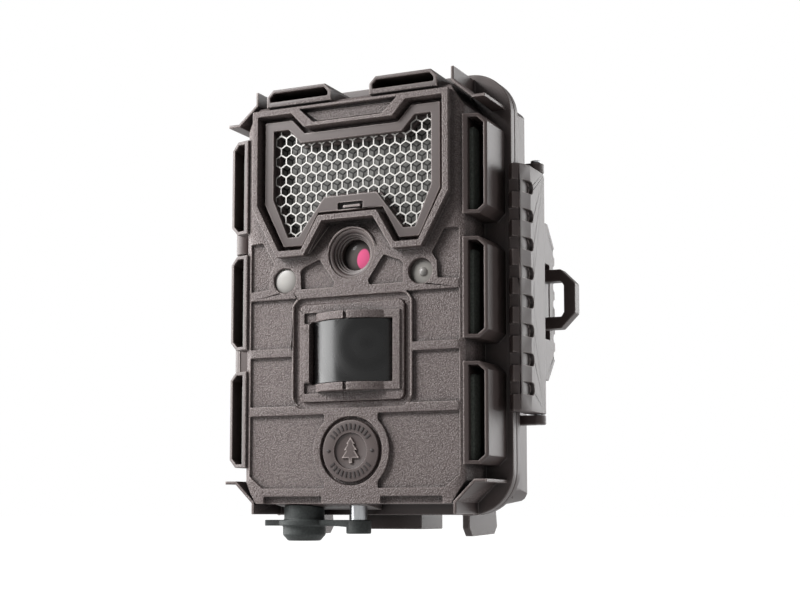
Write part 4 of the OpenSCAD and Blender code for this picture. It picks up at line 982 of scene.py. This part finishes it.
class TRAILCAM_OT_stage(bpy.types.Operator):
    """The pale floor, soft lamps, white surround and camera"""

    bl_idname = "trailcam.stage"
    bl_label = "Stage"

    def execute(self, context):
        scene = context.scene
        bm = bmesh.new()
        bmesh.ops.create_grid(bm, x_segments=2, y_segments=2, size=4.0)
        bmesh.ops.translate(bm, vec=(0, 0, CAD_BOX[0].z - 0.0001), verts=bm.verts)
        floor = object_from(bm, "floor")
        made = bpy.data.materials.new("paper_white")
        made.use_nodes = True
        tree = made.node_tree
        tree.nodes.clear()
        path = add(tree, "ShaderNodeLightPath")
        seen = add(
            tree,
            "ShaderNodeMath",
            {0: path.outputs["Is Camera Ray"], 1: path.outputs["Is Glossy Ray"]},
            operation="MAXIMUM",
        )
        seen = add(
            tree,
            "ShaderNodeMath",
            {0: seen.outputs[0], 1: path.outputs["Is Transmission Ray"]},
            operation="MAXIMUM",
        )
        paper = add(tree, "ShaderNodeBsdfDiffuse", {"Color": linear("#d8d8d8")})
        glow = add(tree, "ShaderNodeEmission", {"Color": (1, 1, 1, 1), "Strength": 1.17})
        bright = add(tree, "ShaderNodeMixShader", {0: 0.86, 1: paper.outputs[0], 2: glow.outputs[0]})
        plain = add(tree, "ShaderNodeBsdfDiffuse", {"Color": linear("#a0a0a0")})
        mixed = add(
            tree, "ShaderNodeMixShader", {0: seen.outputs[0], 1: plain.outputs[0], 2: bright.outputs[0]}
        )
        out = add(tree, "ShaderNodeOutputMaterial", {"Surface": mixed.outputs[0]})
        out.is_active_output = True
        floor.data.materials.append(made)

        world = bpy.data.worlds.new("white_surround")
        scene.world = world
        world.use_nodes = True
        tree = world.node_tree
        tree.nodes.clear()
        path = add(tree, "ShaderNodeLightPath")
        seen = add(
            tree,
            "ShaderNodeMath",
            {0: path.outputs["Is Camera Ray"], 1: path.outputs["Is Transmission Ray"]},
            operation="MAXIMUM",
        )
        glossy = add(
            tree, "ShaderNodeMath", {0: path.outputs["Is Glossy Ray"], 1: 0.42}, operation="MULTIPLY"
        )
        power = add(tree, "ShaderNodeMath", {0: seen.outputs[0], 1: glossy.outputs[0]}, operation="MAXIMUM")
        power = add(tree, "ShaderNodeMath", {0: power.outputs[0], 1: 0.14}, operation="MAXIMUM")
        air = add(tree, "ShaderNodeBackground", {"Color": (1, 1, 1, 1), "Strength": power.outputs[0]})
        add(tree, "ShaderNodeOutputWorld", {"Surface": air.outputs[0]})

        # name, place, width, height and watts: the key from the upper left models the relief, the rim
        # from behind lights the right-hand walls, and the left card shows in the sensor's film
        lamps = [
            ("key_lamp", (-0.30, -0.32, 0.36), 0.16, 0.16, 3.1),
            ("rim_lamp", (0.40, 0.66, 0.14), 0.50, 0.60, 4.2),
            ("side_lamp", (0.70, 0.20, 0.25), 0.20, 0.30, 0.9),
            ("left_card", (-0.33, -0.07, 0.07), 0.40, 0.44, 3.2),
        ]
        middle = (CAD_BOX[0] + CAD_BOX[1]) / 2
        for name, place, wide, tall, watts in lamps:
            data = bpy.data.lights.new(name, "AREA")
            data.shape = "RECTANGLE"
            data.size = wide
            data.size_y = tall
            data.energy = watts
            lamp = bpy.data.objects.new(name, data)
            lamp.location = place
            lamp.rotation_euler = (middle - Vector(place)).to_track_quat("-Z", "Y").to_euler()
            scene.collection.objects.link(lamp)

        data = bpy.data.cameras.new("camera")
        data.sensor_width = 36.0
        data.lens = 65.7
        data.shift_y = 0.10
        camera = bpy.data.objects.new("camera", data)
        camera.location = (0.2082, -0.4434, 0.0046)
        pitch = math.radians(5.28)
        camera.rotation_euler = (math.radians(90) + pitch, 0, math.radians(25.0))
        scene.collection.objects.link(camera)
        scene.camera = camera
        scene.view_settings.view_transform = "Standard"
        return {"FINISHED"}


STEPS = (
    TRAILCAM_OT_shells,
    TRAILCAM_OT_latch,
    TRAILCAM_OT_infrared_window,
    TRAILCAM_OT_lens,
    TRAILCAM_OT_round_windows,
    TRAILCAM_OT_motion_sensor,
    TRAILCAM_OT_badge,
    TRAILCAM_OT_ports,
    TRAILCAM_OT_door_inside,
    TRAILCAM_OT_cells,
    TRAILCAM_OT_socket,
    TRAILCAM_OT_stage,
)


class TRAILCAM_PT_panel(bpy.types.Panel):
    """Lists the sizes, the colours and the steps"""

    bl_idname = "TRAILCAM_PT_panel"
    bl_label = "Trail camera"
    bl_space_type = "VIEW_3D"
    bl_region_type = "UI"
    bl_category = "Trail camera"

    def draw(self, context):
        for group in (context.scene.trailcam_sizes, context.scene.trailcam_colours):
            for name in group.bl_rna.properties.keys():
                if name not in ("rna_type", "name"):
                    self.layout.prop(group, name)
        for step in STEPS:
            self.layout.operator(step.bl_idname)


CLASSES = (TrailcamSizes, TrailcamColours) + STEPS + (TRAILCAM_PT_panel,)


def register():
    for cls in CLASSES:
        bpy.utils.register_class(cls)
    bpy.types.Scene.trailcam_sizes = PointerProperty(type=TrailcamSizes)
    bpy.types.Scene.trailcam_colours = PointerProperty(type=TrailcamColours)


def unregister():
    del bpy.types.Scene.trailcam_colours
    del bpy.types.Scene.trailcam_sizes
    for cls in reversed(CLASSES):
        bpy.utils.unregister_class(cls)


def main():
    register()
    bpy.ops.trailcam.shells()
    bpy.ops.trailcam.latch()
    bpy.ops.trailcam.infrared_window()
    bpy.ops.trailcam.lens()
    bpy.ops.trailcam.round_windows()
    bpy.ops.trailcam.motion_sensor()
    bpy.ops.trailcam.badge()
    bpy.ops.trailcam.ports()
    bpy.ops.trailcam.door_inside()
    bpy.ops.trailcam.cells()
    bpy.ops.trailcam.socket()
    bpy.ops.trailcam.stage()


if __name__ == "__main__":
    main()
